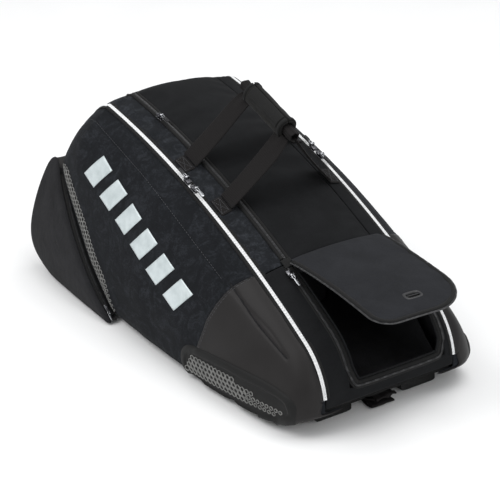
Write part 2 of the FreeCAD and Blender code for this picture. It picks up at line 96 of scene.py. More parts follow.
def side_controls(x):
    width, top, low = half_width(x), seam_z(x), underside(x)
    rise = top - low
    full = 0.58 + 0.16 * min(1.0, max(0.0, (-100.0 - x) / 150.0))
    c = [(width - 42, low), (width - 7, low + 0.045 * rise), (width, low + 0.20 * rise),
         (width - 0.06 * (width - S), low + 0.42 * rise),
         (S + full * (width - S), low + 0.80 * rise), (S, top), (S / 2, top + 0.75 * CROWN)]
    first = (2 * c[0][0] - c[1][0], 2 * c[0][1] - c[1][1])
    return np.array([first] + c)


def side_curve(x, ts):
    """Points (y, z) of the side at station x, for t from 0 at the ground to 5 at the zip."""
    c = side_controls(x)
    ts = np.asarray(ts, float)
    i = np.clip(np.floor(ts).astype(int), 0, 4)
    f = (ts - i)[:, None]
    p0, p1, p2, p3 = c[i], c[i + 1], c[i + 2], c[np.minimum(i + 3, 7)]
    return 0.5 * (2 * p1 + (p2 - p0) * f + (2 * p0 - 5 * p1 + 4 * p2 - p3) * f ** 2
                  + (3 * p1 - p0 - 3 * p2 + p3) * f ** 3)


T_TABLE = np.linspace(0, 5, 201)
_curves = {}


def table_at(x):
    key = round(x, 2)
    if key not in _curves:
        _curves[key] = side_curve(x, T_TABLE)
    return _curves[key]


def t_at_height(x, z):
    curve = table_at(x)
    return float(np.interp(z, np.maximum.accumulate(curve[:, 1]), T_TABLE))


def side_y(x, z):
    """Distance of the side's surface from the middle plane at a station and height."""
    x = min(max(x, WIDE_END), NARROW_END)
    curve = table_at(x)
    return float(np.interp(z, np.maximum.accumulate(curve[:, 1]), curve[:, 0]))


SEAM_DROP_X = (-330, -232, -118, -11, 85, 162, 223, 283, 323, 384)
SEAM_DROP = (18, 24, 30, 33, 35, 35, 28, 21, 21, 12)


def seam_drop(x):
    """How far the side panel's own seam lies below the main zip."""
    return float(np.interp(x, SEAM_DROP_X, SEAM_DROP))


def stations(step=8.0):
    """Stations along the bag, closer together round both ends."""
    wide = [SHOULDER_X - 100 * math.sin(math.radians(a)) for a in np.linspace(90, 4, 16)]
    even = list(np.linspace(SHOULDER_X, NOSE_X, int((NOSE_X - SHOULDER_X) / step)))
    nose = [NOSE_C[0] + NOSE_R * math.sin(math.radians(a)) for a in np.linspace(30.5, 78.8, 14)]
    xs = wide + even + nose
    xs[-1] = NARROW_END
    return xs


# ---- mesh helpers --------------------------------------------------------------------------------


def to_row(points):
    return (np.asarray(points, float) + np.array([SHIFT, 0.0, 0.0])) * 0.001


def make(name, verts, faces, material, body, slot=None, replaces=(), smooth=True, inner=None):
    """A piece from points in bag mm, which rides on a body."""
    mesh = bpy.data.meshes.new(name)
    mesh.from_pydata([tuple(v) for v in to_row(verts)], [], faces)
    mesh.materials.append(material)
    if inner is not None:
        mesh.materials.append(inner)
    mesh.polygons.foreach_set("use_smooth", [smooth] * len(mesh.polygons))
    mesh.update()
    obj = bpy.data.objects.new(name, mesh)
    scene.collection.objects.link(obj)
    if body:
        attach(obj, body)
    if replaces:
        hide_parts(*replaces)
    return obj


def grid_faces(nu, nv, close_u=False, close_v=False, flip=False):
    faces = []
    for i in range(nu if close_u else nu - 1):
        for j in range(nv if close_v else nv - 1):
            a, b = i * nv + j, ((i + 1) % nu) * nv + j
            c, d = ((i + 1) % nu) * nv + (j + 1) % nv, i * nv + (j + 1) % nv
            faces.append((a, d, c, b) if flip else (a, b, c, d))
    return faces


def grid(name, points, material, body, flip=False, close_u=False, close_v=False, **more):
    points = np.asarray(points, float)
    faces = grid_faces(points.shape[0], points.shape[1], close_u, close_v, flip)
    return make(name, points.reshape(-1, 3), faces, material, body, **more)


def normals(points, flip=False):
    """Unit normals of a grid of points."""
    du = np.gradient(points, axis=0)
    dv = np.gradient(points, axis=1)
    n = np.cross(du, dv)
    n /= np.maximum(np.linalg.norm(n, axis=2, keepdims=True), 1e-9)
    return -n if flip else n


def turn(points, angle):
    """Points turned about the Y axis, the +X end going down."""
    c, s = math.cos(angle), math.sin(angle)
    x, y, z = points[..., 0], points[..., 1], points[..., 2]
    return np.stack([x * c + z * s, y, -x * s + z * c], -1)


def upright(count):
    """One up direction, along Z, for each point of a path."""
    return np.tile(np.array([0.0, 0.0, 1.0]), (count, 1))


def angles(count):
    """Evenly spaced angles round a full turn."""
    return np.linspace(0, 2 * math.pi, count + 1)[:-1]


def oval(rx, ry, count):
    """Round profile with the given half sizes."""
    return [(rx * math.cos(a), ry * math.sin(a)) for a in angles(count)]


def boxy(a, power):
    """Cosine and sine of an angle, pushed out towards a square."""
    c, s = math.cos(a), math.sin(a)
    k = (abs(c) ** power + abs(s) ** power) ** (-1 / power)
    return c * k, s * k


def mirror(points, side):
    """Near points, or their mirror image on the far side."""
    points = np.array(points, float)
    if side == "far":
        points[..., 1] *= -1
    return points


def thicken(obj, mm, offset=-1.0, inner=False):
    m = obj.modifiers.new("thickness", "SOLIDIFY")
    m.thickness = mm * 0.001
    m.offset = offset
    m.use_even_offset = False
    if inner:
        m.material_offset = 1
    return obj


def smooth_more(obj, levels=1):
    m = obj.modifiers.new("smooth", "SUBSURF")
    m.levels = levels
    m.render_levels = levels
    return obj


def layered(obj, mm, offset=-1.0, inner=False):
    """Gives a sheet its thickness and then smooths it once."""
    thicken(obj, mm, offset, inner)
    return smooth_more(obj)


def soften(obj, mm, segments=2):
    m = obj.modifiers.new("soften", "BEVEL")
    m.width = mm * 0.001
    m.segments = segments
    m.limit_method = "ANGLE"
    m.angle_limit = math.radians(35)
    m.harden_normals = False
    return obj


def sweep(name, path, ups, profile, material, body, cap=True, **more):
    """A profile of (across, up) points carried along a path, with an up direction at each point."""
    path, ups = np.asarray(path, float), np.asarray(ups, float)
    tangent = np.gradient(path, axis=0)
    tangent /= np.maximum(np.linalg.norm(tangent, axis=1, keepdims=True), 1e-9)
    across = np.cross(tangent, ups)
    across /= np.maximum(np.linalg.norm(across, axis=1, keepdims=True), 1e-9)
    up = np.cross(across, tangent)
    rows = []
    for k in range(len(path)):
        shape = profile(k) if callable(profile) else profile
        rows.append([path[k] + across[k] * a + up[k] * b for a, b in shape])
    rows = np.array(rows)
    nu, nv = rows.shape[:2]
    faces = grid_faces(nu, nv, close_v=True)
    if cap:
        faces.append(tuple(range(nv))[::-1])
        faces.append(tuple((nu - 1) * nv + j for j in range(nv)))
    obj = make(name, rows.reshape(-1, 3), faces, material, body, **more)
    return obj


def resample(points, step):
    points = np.asarray(points, float)
    lengths = np.concatenate([[0], np.cumsum(np.linalg.norm(np.diff(points, axis=0), axis=1))])
    count = max(3, int(lengths[-1] / step) + 1)
    at = np.linspace(0, lengths[-1], count)
    return np.stack([np.interp(at, lengths, points[:, k]) for k in range(points.shape[1])], 1)


def rounded(points, rounds=3, closed=True):
    """Corner cutting on a polygon."""
    points = [np.array(p, float) for p in points]
    for _ in range(rounds):
        out = []
        count = len(points)
        for i in range(count if closed else count - 1):
            a, b = points[i], points[(i + 1) % count]
            out += [a * 0.75 + b * 0.25, a * 0.25 + b * 0.75]
        if not closed:
            out = [points[0]] + out[1:-1] + [points[-1]]
        points = out
    return np.array(points)


def wrinkle(points, n, amount, size, seed=0.0):
    """Pushes a grid in and out along its normals with soft noise."""
    out = points.copy()
    for index in np.ndindex(points.shape[:2]):
        p = points[index]
        v = noise.noise(Vector((p[0] / size + seed, p[1] / size, p[2] / size)))
        v += 0.5 * noise.noise(Vector((p[0] / size * 2.3, p[1] / size * 2.3 + seed, p[2] / size * 2.3)))
        out[index] += n[index] * v * amount
    return out


def puff(obj, pinned, pressure=3.0, frames=14, cap=5.0, slack=0.02, stiff=12.0):
    """Cloth simulation with air pressure on a piece whose pinned points stay, applied to its mesh."""
    mesh = obj.data
    rest = np.array([v.co for v in mesh.vertices], float)
    group = obj.vertex_groups.new(name="pin")
    group.add([int(i) for i in pinned], 1.0, "REPLACE")
    cloth = obj.modifiers.new("cloth", "CLOTH")
    settings = cloth.settings
    settings.quality = 4
    settings.mass = 0.3
    settings.tension_stiffness = stiff
    settings.compression_stiffness = stiff
    settings.shear_stiffness = 5
    settings.bending_stiffness = 0.6
    settings.use_pressure = True
    settings.uniform_pressure_force = pressure
    settings.shrink_min = -slack
    settings.vertex_group_mass = "pin"
    settings.effector_weights.gravity = 0.0
    cloth.collision_settings.use_collision = False
    cloth.point_cache.frame_start = 1
    cloth.point_cache.frame_end = frames
    for f in range(1, frames + 1):
        scene.frame_set(f)
    evaluated = obj.evaluated_get(bpy.context.evaluated_depsgraph_get())
    moved = np.array([v.co for v in evaluated.data.vertices], float)
    obj.modifiers.remove(cloth)
    obj.vertex_groups.remove(group)
    scene.frame_set(1)
    if moved.shape == rest.shape and np.isfinite(moved).all():
        push = moved - rest
        size = np.linalg.norm(push, axis=1, keepdims=True)
        limit = cap * 0.001
        scale = np.where(size > 1e-9, limit * np.tanh(size / limit) / np.maximum(size, 1e-9), 1.0)
        mesh.vertices.foreach_set("co", (rest + push * scale).ravel())
        mesh.update()
    return obj


def rim(nu, nv, extra=()):
    """Indices of a grid's border and of extra columns."""
    out = set()
    for i in range(nu):
        for j in (0, nv - 1, *extra):
            out.add(i * nv + j)
    for j in range(nv):
        out.add(j)
        out.add((nu - 1) * nv + j)
    return sorted(out)


# ---- materials -----------------------------------------------------------------------------------


class Nodes:
    """A material's node tree with short calls for adding and joining nodes."""

    def __init__(self, name):
        self.material = bpy.data.materials.new(name)
        self.material.use_nodes = True
        self.tree = self.material.node_tree
        self.shader = self.tree.nodes["Principled BSDF"]
        self.place = self.add("ShaderNodeTexCoord").outputs["Object"]

    def add(self, kind, **settings):
        node = self.tree.nodes.new(kind)
        for key, value in settings.items():
            setattr(node, key, value)
        return node

    def join(self, a, b):
        self.tree.links.new(a, b)

    def put(self, node, **values):
        for key, value in values.items():
            node.inputs[key.replace("_", " ")].default_value = value
        return node

    def noise(self, scale, detail=3.0, rough=0.55, distort=0.0, stretch=(1, 1, 1)):
        mapping = self.add("ShaderNodeMapping")
        mapping.inputs["Scale"].default_value = stretch
        self.join(self.place, mapping.inputs["Vector"])
        node = self.put(self.add("ShaderNodeTexNoise"), Scale=scale, Detail=detail, Roughness=rough,
                        Distortion=distort)
        self.join(mapping.outputs[0], node.inputs["Vector"])
        return node.outputs["Fac"]

    def cells(self, scale, random=1.0, feature="F1"):
        node = self.add("ShaderNodeTexVoronoi", feature=feature)
        self.put(node, Scale=scale, Randomness=random)
        self.join(self.place, node.inputs["Vector"])
        return node

    def bands(self, pitch, direction="X", distort=0.0):
        node = self.add("ShaderNodeTexWave", bands_direction=direction)
        self.put(node, Scale=2 * math.pi / (20 * pitch), Distortion=distort, Detail=1.0)
        self.join(self.place, node.inputs["Vector"])
        return node.outputs["Fac"]

    def math(self, op, a, b):
        node = self.add("ShaderNodeMath", operation=op)
        for socket, value in zip(node.inputs, (a, b)):
            if isinstance(value, (int, float)):
                socket.default_value = value
            else:
                self.join(value, socket)
        return node.outputs[0]

    def ramp(self, fac, stops):
        node = self.add("ShaderNodeValToRGB")
        ramp = node.color_ramp
        while len(ramp.elements) < len(stops):
            ramp.elements.new(0.5)
        for element, (at, colour) in zip(ramp.elements, stops):
            element.position = at
            element.color = (*colour, 1.0)
        self.join(fac, node.inputs["Fac"])
        return node.outputs["Color"]

    def mix(self, fac, a, b, blend="MIX"):
        node = self.add("ShaderNodeMix", data_type="RGBA", blend_type=blend)
        for index, value in ((0, fac), (6, a), (7, b)):
            if isinstance(value, (int, float)):
                node.inputs[index].default_value = value
            elif isinstance(value, tuple):
                node.inputs[index].default_value = (*value, 1.0)
            else:
                self.join(value, node.inputs[index])
        return node.outputs[2]

    def rough(self, fac, low, high):
        node = self.add("ShaderNodeMapRange")
        self.put(node, To_Min=low, To_Max=high)
        self.join(fac, node.inputs["Value"])
        self.join(node.outputs[0], self.shader.inputs["Roughness"])

    def bump(self, height, strength=0.3, mm=0.4):
        node = self.put(self.add("ShaderNodeBump"), Strength=strength, Distance=mm * 0.001)
        self.join(height, node.inputs["Height"])
        self.join(node.outputs[0], self.shader.inputs["Normal"])

    def colour(self, value):
        self.join(value, self.shader.inputs["Base Color"])


def grey(value, warm=0.0, blue=0.0):
    return (value + warm, value, value + blue)


def woven(name, dark, light, pitch=1.3, rough=(0.72, 0.9), sheen=0.02, bump=0.25, patch=0.0, crease=0.35):
    """Woven cloth: yarns both ways, a mottle, faint creases and, where asked, a printed camouflage."""
    n = Nodes(name)
    warp = n.bands(pitch * 0.001, "DIAGONAL", 0.3)
    weft = n.bands(pitch * 0.0011, "X", 0.3)
    yarns = n.math("MULTIPLY", warp, weft)
    mottle = n.noise(520, 3.0, 0.65)
    cloud = n.noise(22, 4.0, 0.6, 0.6)
    base = n.ramp(n.math("ADD", n.math("MULTIPLY", mottle, 0.6), n.math("MULTIPLY", cloud, 0.4)),
                  [(0.36, dark), (0.66, light)])
    if patch:
        blotch = n.noise(30, 6.0, 0.68, 1.8)
        streak = n.noise(105, 5.0, 0.75, 2.6, (1.0, 1.0, 2.2))
        fac = n.math("ADD", n.math("MULTIPLY", blotch, 0.55), n.math("MULTIPLY", streak, 0.45))
        deep, pale = tuple(c * 0.62 for c in dark), tuple(c * 1.45 for c in light)
        print_tone = n.ramp(fac, [(0.40, deep), (0.50, dark), (0.62, pale)])
        base = n.mix(patch, base, print_tone)
    worn = n.noise(7, 3.0, 0.5, 0.3)
    base = n.mix(n.math("MULTIPLY", worn, 0.22), base, tuple(c * 1.5 for c in light))
    n.colour(base)
    folds = n.noise(38, 3.0, 0.5, 1.3, (1.0, 1.0, 0.55))
    n.bump(n.math("ADD", n.math("MULTIPLY", yarns, 0.5), n.math("MULTIPLY", folds, crease * 6)), bump, 0.8)
    n.rough(mottle, *rough)
    n.put(n.shader, Sheen_Weight=sheen, Sheen_Roughness=0.5, Specular_IOR_Level=0.08)
    return n.material


def coated(name, tone, rough=(0.42, 0.56), grain=900, warm=0.0, spec=0.18):
    """Matte coated fabric: fine grain, slight polish and cloudy tone."""
    n = Nodes(name)
    grain_v = n.cells(grain, 1.0).outputs["Distance"]
    cloud = n.noise(14, 4.0, 0.55, 0.4)
    n.colour(n.ramp(cloud, [(0.3, grey(tone * 0.86, warm)), (0.7, grey(tone * 1.16, warm))]))
    scuff = n.noise(70, 5.0, 0.75, 1.5)
    n.rough(n.math("ADD", n.math("MULTIPLY", cloud, 0.6), n.math("MULTIPLY", scuff, 0.4)), *rough)
    n.bump(n.math("ADD", n.math("MULTIPLY", grain_v, 0.7), n.math("MULTIPLY", scuff, 0.5)), 0.22, 0.3)
    n.put(n.shader, Specular_IOR_Level=spec)
    return n.material


def strap_cloth(name, tone, pitch=1.9, warm=0.0):
    """Ribbed nylon webbing."""
    n = Nodes(name)
    ribs = n.bands(pitch * 0.001, "Y", 0.2)
    cross = n.bands(pitch * 0.0008, "X", 0.4)
    fuzz = n.noise(900, 2.0)
    n.colour(n.mix(n.math("MULTIPLY", ribs, 0.6), grey(tone * 0.65, warm), grey(tone * 1.5, warm)))
    n.bump(n.math("ADD", ribs, n.math("MULTIPLY", cross, 0.6)), 0.45, 0.5)
    n.rough(fuzz, 0.6, 0.85)
    n.put(n.shader, Sheen_Weight=0.03, Sheen_Roughness=0.4, Specular_IOR_Level=0.18)
    return n.material


def moulded(name, low, high, rough=(0.28, 0.45), metallic=0.0, spec=0.5, grain=260):
    """Moulded or printed plastic, or plated metal, with handling marks."""
    n = Nodes(name)
    cloud = n.noise(grain * 0.25, 3.0)
    marks = n.noise(grain, 4.0, 0.7, 0.8, (1.0, 3.0, 1.0))
    n.colour(n.ramp(cloud, [(0.3, low), (0.7, high)]))
    n.rough(marks, *rough)
    n.bump(marks, 0.12, 0.15)
    n.put(n.shader, Metallic=metallic, Specular_IOR_Level=spec)
    return n.material


def mesh_cloth(name, tone):
    """Open air mesh over foam."""
    n = Nodes(name)
    holes = n.cells(330, 0.25).outputs["Distance"]
    cloud = n.noise(30, 3.0)
    n.colour(n.mix(n.ramp(holes, [(0.15, (0, 0, 0)), (0.5, (1, 1, 1))]), grey(tone * 0.4), grey(tone * 1.3)))
    n.bump(holes, 0.6, 0.7)
    n.rough(cloud, 0.7, 0.9)
    n.put(n.shader, Sheen_Weight=0.03, Specular_IOR_Level=0.15)
    return n.material


SIDE = woven("heather_print", (0.0065, 0.0073, 0.0088), (0.0155, 0.0172, 0.0205), 1.4, patch=0.85, bump=0.22)
STRIP = woven("heather_strip", (0.008, 0.009, 0.0107), (0.020, 0.022, 0.026), 1.4, patch=0.85, bump=0.28)
BLACK = woven("black_cloth", (0.0045, 0.0047, 0.0052), (0.0105, 0.011, 0.012), 1.1, bump=0.16)
FLAP = woven("flap_cloth", (0.011, 0.0115, 0.013), (0.021, 0.022, 0.0255), 1.1, bump=0.14)
LINING = woven("lining_cloth", (0.010, 0.010, 0.011), (0.024, 0.024, 0.026), 1.8, bump=0.3, crease=0.9)
# dark cloth for painted shade: the slanted side of each pocket's gusset and the strip in the corner panel's
# fold groove
SHADE_CLOTH = woven("painted_shade_cloth", (0.006, 0.006, 0.007), (0.014, 0.014, 0.015), 0.9, (0.35, 0.55), 0.02, 0.35,
               crease=1.0)
TPU = coated("coated_corner", 0.0135, warm=0.0013)
TPU_POCKET = coated("coated_pocket", 0.021, (0.44, 0.58), warm=0.0012)
TPU_DARK = coated("coated_dark", 0.009, (0.5, 0.65))
PRINT = moulded("grey_print", (0.15, 0.15, 0.145), (0.25, 0.25, 0.24), (0.35, 0.5), grain=500)
PRINT_LIGHT = moulded("light_print", (0.17, 0.17, 0.165), (0.26, 0.26, 0.25), (0.35, 0.5), grain=500)
SILVER = moulded("silver_print", (0.47, 0.53, 0.54), (0.60, 0.66, 0.67), (0.25, 0.38), metallic=0.15)
WHITE = moulded("white_coil", (0.70, 0.71, 0.72), (0.84, 0.84, 0.84), (0.3, 0.45), grain=700)
COIL = moulded("black_coil", (0.008, 0.008, 0.009), (0.022, 0.022, 0.024), (0.3, 0.45), grain=700)
TAPE = strap_cloth("zip_tape", 0.010, 0.9)
WEB = strap_cloth("webbing", 0.0055, 2.1, 0.0010)
TRIM = strap_cloth("binding", 0.0095, 1.3)
GRIP = woven("grip_cloth", (0.008, 0.008, 0.008), (0.017, 0.0165, 0.0155), 1.2, sheen=0.05, bump=0.3,
             crease=0.8)
PAD = mesh_cloth("air_mesh", 0.013)
METAL = moulded("plated_metal", (0.42, 0.43, 0.45), (0.60, 0.61, 0.63), (0.18, 0.34), metallic=1.0)
GUN = moulded("dark_plated", (0.10, 0.10, 0.11), (0.20, 0.20, 0.21), (0.22, 0.4), metallic=1.0)
NYLON = moulded("black_nylon", (0.010, 0.010, 0.011), (0.020, 0.020, 0.022), (0.35, 0.5))
THREAD = moulded("thread", (0.030, 0.032, 0.036), (0.060, 0.062, 0.068), (0.55, 0.7), grain=900)

# ---- side covers ---------------------------------------------------------------------------------

CAP_ROWS = 6
FLOOR_TOP = 12.3
XS = stations()


def side_rows(xs, columns):
    """Rows of near side points: both end caps and every station, with t columns chosen per station."""
    rows = []
    for x in xs:
        ts = columns(x)
        curve = side_curve(x, ts)
        rows.append(np.stack([np.full(len(ts), x), -curve[:, 0], curve[:, 1]], 1))

    def cap(end, k):
        row = end.copy()
        row[:, 1] = -(S + (-end[:, 1] - S) * (1 - k / CAP_ROWS))
        return row

    before = [cap(rows[0], k) for k in range(CAP_ROWS, 0, -1)]
    after = [cap(rows[-1], k) for k in range(1, CAP_ROWS + 1)]
    return np.array(before + rows + after)


LOWER, UPPER = 30, 9
GROOVE = LOWER + 1


def cover_columns(x):
    """Columns of t: the big lower field, three at the panel seam, and the field up to the zip."""
    top = seam_z(x)
    low = max(0.0, t_at_height(x, FLOOR_TOP)) if underside(x) < FLOOR_TOP else 0.0
    room = max(top - max(underside(x), FLOOR_TOP), 1.0)
    drop = min(seam_drop(x), room * 0.45)
    middle = t_at_height(x, top - drop)
    edge = min(0.03, (5 - middle) * 0.2)
    lower = np.linspace(low, middle - edge, LOWER + 1)
    upper = np.linspace(middle + edge, 5.0, UPPER + 1)
    return np.concatenate([lower, [middle], upper])


def zip_fall(points, depth=2.2, reach=9.0):
    """How far the cloth dips beside the main zip."""
    gap = np.linalg.norm(points - points[:, -1:, :], axis=2)
    return -depth * np.exp(-gap / reach)


def side_cover(side):
    points = side_rows(XS, cover_columns)
    n = normals(points)
    lift = zip_fall(points) + 1.4
    inside = (points[:, :, 0] > -335) & (points[:, :, 0] < 325)
    lift[:, GROOVE] -= np.where(inside[:, GROOVE], 1.6, 0.0)
    points = points + n * lift[:, :, None]
    points = wrinkle(points, n, 0.9, 70, 3.0)
    nu, nv = points.shape[:2]
    obj = grid(f"{side}_side_shell", mirror(points, side), SIDE, f"{side}_cover", flip=side == "far",
               slot="side_fabric", replaces=(f"{side}_side_cover",), inner=LINING)
    puff(obj, rim(nu, nv, (GROOVE,)), pressure=2.2, cap=4.5, slack=0.012)
    layered(obj, 3.0, inner=True)
    add_layer(side, obj)
    return obj


LAYERS = {"near": [], "far": []}
CAST_FROM = 25.0


def add_layer(side, obj):
    """Remembers a finished piece's surface, so that what is sewn or printed on it lies on it."""
    LAYERS[side].append(BVHTree.FromObject(obj, bpy.context.evaluated_depsgraph_get()))


def cast(side, p, out, lift):
    """The point above p, along out, that is lift above the outermost remembered surface."""
    start = to_row(p + out * CAST_FROM)
    best = None
    for tree in LAYERS[side]:
        hit = tree.ray_cast(Vector(start), Vector(-out), 0.001 * 2 * CAST_FROM)
        if hit[0] is not None and (best is None or hit[3] < best):
            best = hit[3]
    rise = lift if best is None else CAST_FROM - best * 1000 + lift
    return p + out * rise


def on_side(x, z, lift, side="near"):
    """A point on the side's surface, lifted along the surface's own direction in section."""
    x = min(max(x, WIDE_END), NARROW_END)
    t = t_at_height(x, z)
    a, b = side_curve(x, [max(t - 0.05, 0), min(t + 0.05, 5)])
    along = (b - a) / max(np.linalg.norm(b - a), 1e-9)
    y, z0 = side_curve(x, [t])[0]
    out = mirror([0.0, -along[1], -along[0]], side)
    return cast(side, mirror([x, -y, z0], side), out, lift)


def side_line(name, side, points, lift, width, height, material, body, step=4.0, **more):
    """A narrow raised or sunk line, such as a row of thread, on the side's surface."""
    path2 = resample(points, step)
    path = np.array([on_side(x, z, lift, side) for x, z in path2])
    above = np.array([on_side(x, z, lift + 5, side) for x, z in path2])
    profile = [(-width / 2, 0), (-width / 3, height), (width / 3, height), (width / 2, 0)]
    return sweep(name, path, above - path, profile, material, body, **more)


def stitches(name, side, points, lift, body, gap=2.4, long=3.6, thick=0.8, material=None):
    """A row of single stitches along a line on the side."""
    path2 = resample(points, 1.2)
    length = np.concatenate([[0], np.cumsum(np.linalg.norm(np.diff(path2, axis=0), axis=1))])
    verts, faces = [], []
    at = 0.0
    while at + long < length[-1]:
        ends = [np.array([np.interp(at + d, length, path2[:, k]) for k in (0, 1)]) for d in (0, long)]
        a, b = (on_side(e[0], e[1], lift, side) for e in ends)
        up = on_side(ends[0][0], ends[0][1], lift + 3, side) - a
        up /= np.linalg.norm(up)
        way = (b - a) / max(np.linalg.norm(b - a), 1e-9)
        wide = np.cross(way, up) * thick / 2
        start = len(verts)
        for p, h in ((a, 0.1), (a * 0.75 + b * 0.25, 0.6), (a * 0.25 + b * 0.75, 0.6), (b, 0.1)):
            verts += [p - wide, p + up * h, p + wide]
        for k in range(3):
            q = start + 3 * k
            faces += [(q, q + 3, q + 4, q + 1), (q + 1, q + 4, q + 5, q + 2)]
        at += long + gap
    return make(name, np.array(verts), faces, material or THREAD, body, smooth=False)


# ---- corner panel, honeycomb, strip and badge ----------------------------------------------------

CORNER_EDGE = [(-30, 108), (0, 112), (42, 124), (63, 150), (90, 156), (118, 160), (150, 172), (178, 184),
               (196, 200), (215, 216), (262, 240)]
FOLD_LINE = [(178, 181), (205, 169), (232, 156), (258, 144), (284, 133), (308, 123), (326, 116)]
HONEY_CELLS = [(128, 20), (270, 20), (330, 27), (356, 38), (310, 42), (262, 48), (215, 55), (150, 51),
               (130, 44)]
HONEY_START, HONEY_PITCH = (124, 14), 9.6
HONEY = [(123, 14), (270, 14), (337, 24), (362, 44), (350, 60), (226, 62), (146, 56), (124, 46)]


def corner_edge(z):
    return float(np.interp(z, [p[0] for p in CORNER_EDGE], [p[1] for p in CORNER_EDGE]))


def distance_to(points2, line):
    line = resample(line, 2.0)
    return np.min(np.linalg.norm(points2[..., None, :] - line, axis=-1), axis=-1)


def inside_polygon(x, z, polygon):
    hit = False
    for (x0, z0), (x1, z1) in zip(polygon, list(polygon[1:]) + [polygon[0]]):
        if (z0 > z) != (z1 > z) and x < (x1 - x0) * (z - z0) / (z1 - z0) + x0:
            hit = not hit
    return hit


def corner_panel(side):
    """Coated panel on the shoe end of a compartment, with its pressed fold line and raised lower lip."""
    across, up = 96, 84
    rows = []
    for i in range(across):
        share = i / (across - 1)
        row = []
        for j in range(up):
            t_share = j / (up - 1)
            x = 165.0
            for _ in range(5):
                low = t_at_height(x, FLOOR_TOP + 0.6) if underside(x) < FLOOR_TOP else 0.02
                t = low + (4.93 - low) * t_share
                z = side_curve(x, [t])[0][1]
                edge = corner_edge(z)
                x = edge + (NARROW_END - edge) * (1 - (1 - share) ** 1.25)
            y, z = side_curve(min(x, NARROW_END), [t])[0]
            row.append((x, -y, z))
        rows.append(row)
    points = np.array(rows)
    n = normals(points)
    flat = points[:, :, [0, 2]]
    lift = 2.4 - 2.2 * np.exp(-distance_to(flat, [(p[1], p[0]) for p in CORNER_EDGE]) / 1.6)
    lift -= 2.0 * np.exp(-(distance_to(flat, FOLD_LINE) / 1.7) ** 2)
    to_honey = distance_to(flat, HONEY + [HONEY[0]])
    within = np.vectorize(lambda x, z: inside_polygon(x, z, HONEY))(flat[..., 0], flat[..., 1])
    lift += np.where(within, -1.6, 1.3 * np.exp(-(to_honey - 3) ** 2 / 30))
    gap = np.linalg.norm(points - points[:, -1:, :], axis=2)
    lift -= 2.0 * np.exp(-gap / 7.0)
    lift = np.clip(lift, 0.35, None)
    points = mirror(points, side)
    n = mirror(n, side)
    for index in np.ndindex(lift.shape):
        points[index] = cast(side, points[index], n[index], lift[index])
    obj = grid(f"{side}_corner_shell", points, TPU, f"{side}_cover", flip=side == "far",
               slot="coated_panel", replaces=(f"{side}_corner_panel",))
    thicken(obj, 1.2)
    add_layer(side, obj)
    edge = [(corner_edge(z) + 3.2, z) for z in np.linspace(18, 205, 40)]
    second = [(corner_edge(z) + 7.0, z) for z in np.linspace(18, 202, 40)]
    stitches(f"{side}_corner_stitch_a", side, edge, 0.0, f"{side}_cover")
    # a dark cloth strip laid in the pressed fold groove: painted shade in the groove
    side_line(f"{side}_corner_groove_shade", side, FOLD_LINE, 0.1, 2.4, 0.5, SHADE_CLOTH, f"{side}_cover")
    stitches(f"{side}_corner_stitch_b", side, second, 0.0, f"{side}_cover")
    return obj


def hex_cells(centres, radius_of, lift, side, height=1.2, ring=0.62, squeeze=1.0):
    """Raised six-sided rings on the side's surface."""
    verts, faces = [], []
    for x, z in centres:
        radius = radius_of(x, z)
        if radius < 1.0:
            continue
        start = len(verts)
        for scale, up in ((1.0, 0.0), (0.94, height), (ring, height), (ring * 0.92, 0.0)):
            for k in range(6):
                a = math.radians(60 * k + 30)
                verts.append(on_side(x + radius * scale * math.cos(a),
                                     z + radius * scale * math.sin(a) * squeeze, lift + up, side))
        for loop in range(3):
            for k in range(6):
                a, b = start + loop * 6 + k, start + loop * 6 + (k + 1) % 6
                faces.append((a, b, b + 6, a + 6))
    return np.array(verts), faces


def honeycomb(side):
    outline = rounded(HONEY, 3)
    rings = []
    centre = outline.mean(axis=0)
    ahead = np.roll(outline, -1, axis=0) - np.roll(outline, 1, axis=0)
    outward = np.stack([ahead[:, 1], -ahead[:, 0]], 1) / np.linalg.norm(ahead, axis=1, keepdims=True)
    for grow, lift in ((14, 0.1), (13, 1.6), (10, 2.6), (5, 2.8), (1.5, 2.4)):
        band = outline + outward * grow
        band[:, 1] = np.maximum(band[:, 1], 8.5 - grow * 0.2)
        rings.append([on_side(*p, lift, side) for p in band])
    for share in (1.0, 0.97, 0.8, 0.6, 0.4, 0.2, 0.02):
        rings.append([on_side(*(centre + (p - centre) * share), 1.2, side) for p in outline])
    base = grid(f"{side}_honeycomb_base", np.array(rings), TPU_DARK, f"{side}_cover", close_v=True,
                flip=side == "near", slot="print_grey", replaces=(f"{side}_honeycomb_patch",))
    centres = []
    for row in range(10):
        for col in range(30):
            x = HONEY_START[0] + HONEY_PITCH * (col + 0.5 * (row % 2))
            z = HONEY_START[1] + HONEY_PITCH * 0.84 * row + 0.04 * (x - HONEY_START[0])
            if inside_polygon(x, z, HONEY_CELLS):
                centres.append((x, z))

    def radius(x, z):
        fade = min(1.0, max(0.72, (372 - x) / 110))
        return HONEY_PITCH * 0.56 * fade

    add_layer(side, base)
    verts, faces = hex_cells(centres, radius, -0.1, side, 1.4, 0.78, squeeze=0.96)
    make(f"{side}_honeycomb_cells", verts, faces, PRINT, f"{side}_cover", smooth=False)
    return base


POCKET = [(-92, 4), (-98, 9), (-112, 20.5), (-282, 160), (-299, 174), (-326, 200), (-346, 212), (-356, 200),
          (-363, 150), (-369, 80), (-366, 52), (-350, 30), (-318, 12), (-290, 4), (-120, 4), (-98, 4)]


STRIP_FOOT, STRIP_HEAD, STRIP_WIDTH, STRIP_PITCH = (-100.0, 16.0), (-322.0, 204.5), 20.0, 8.4


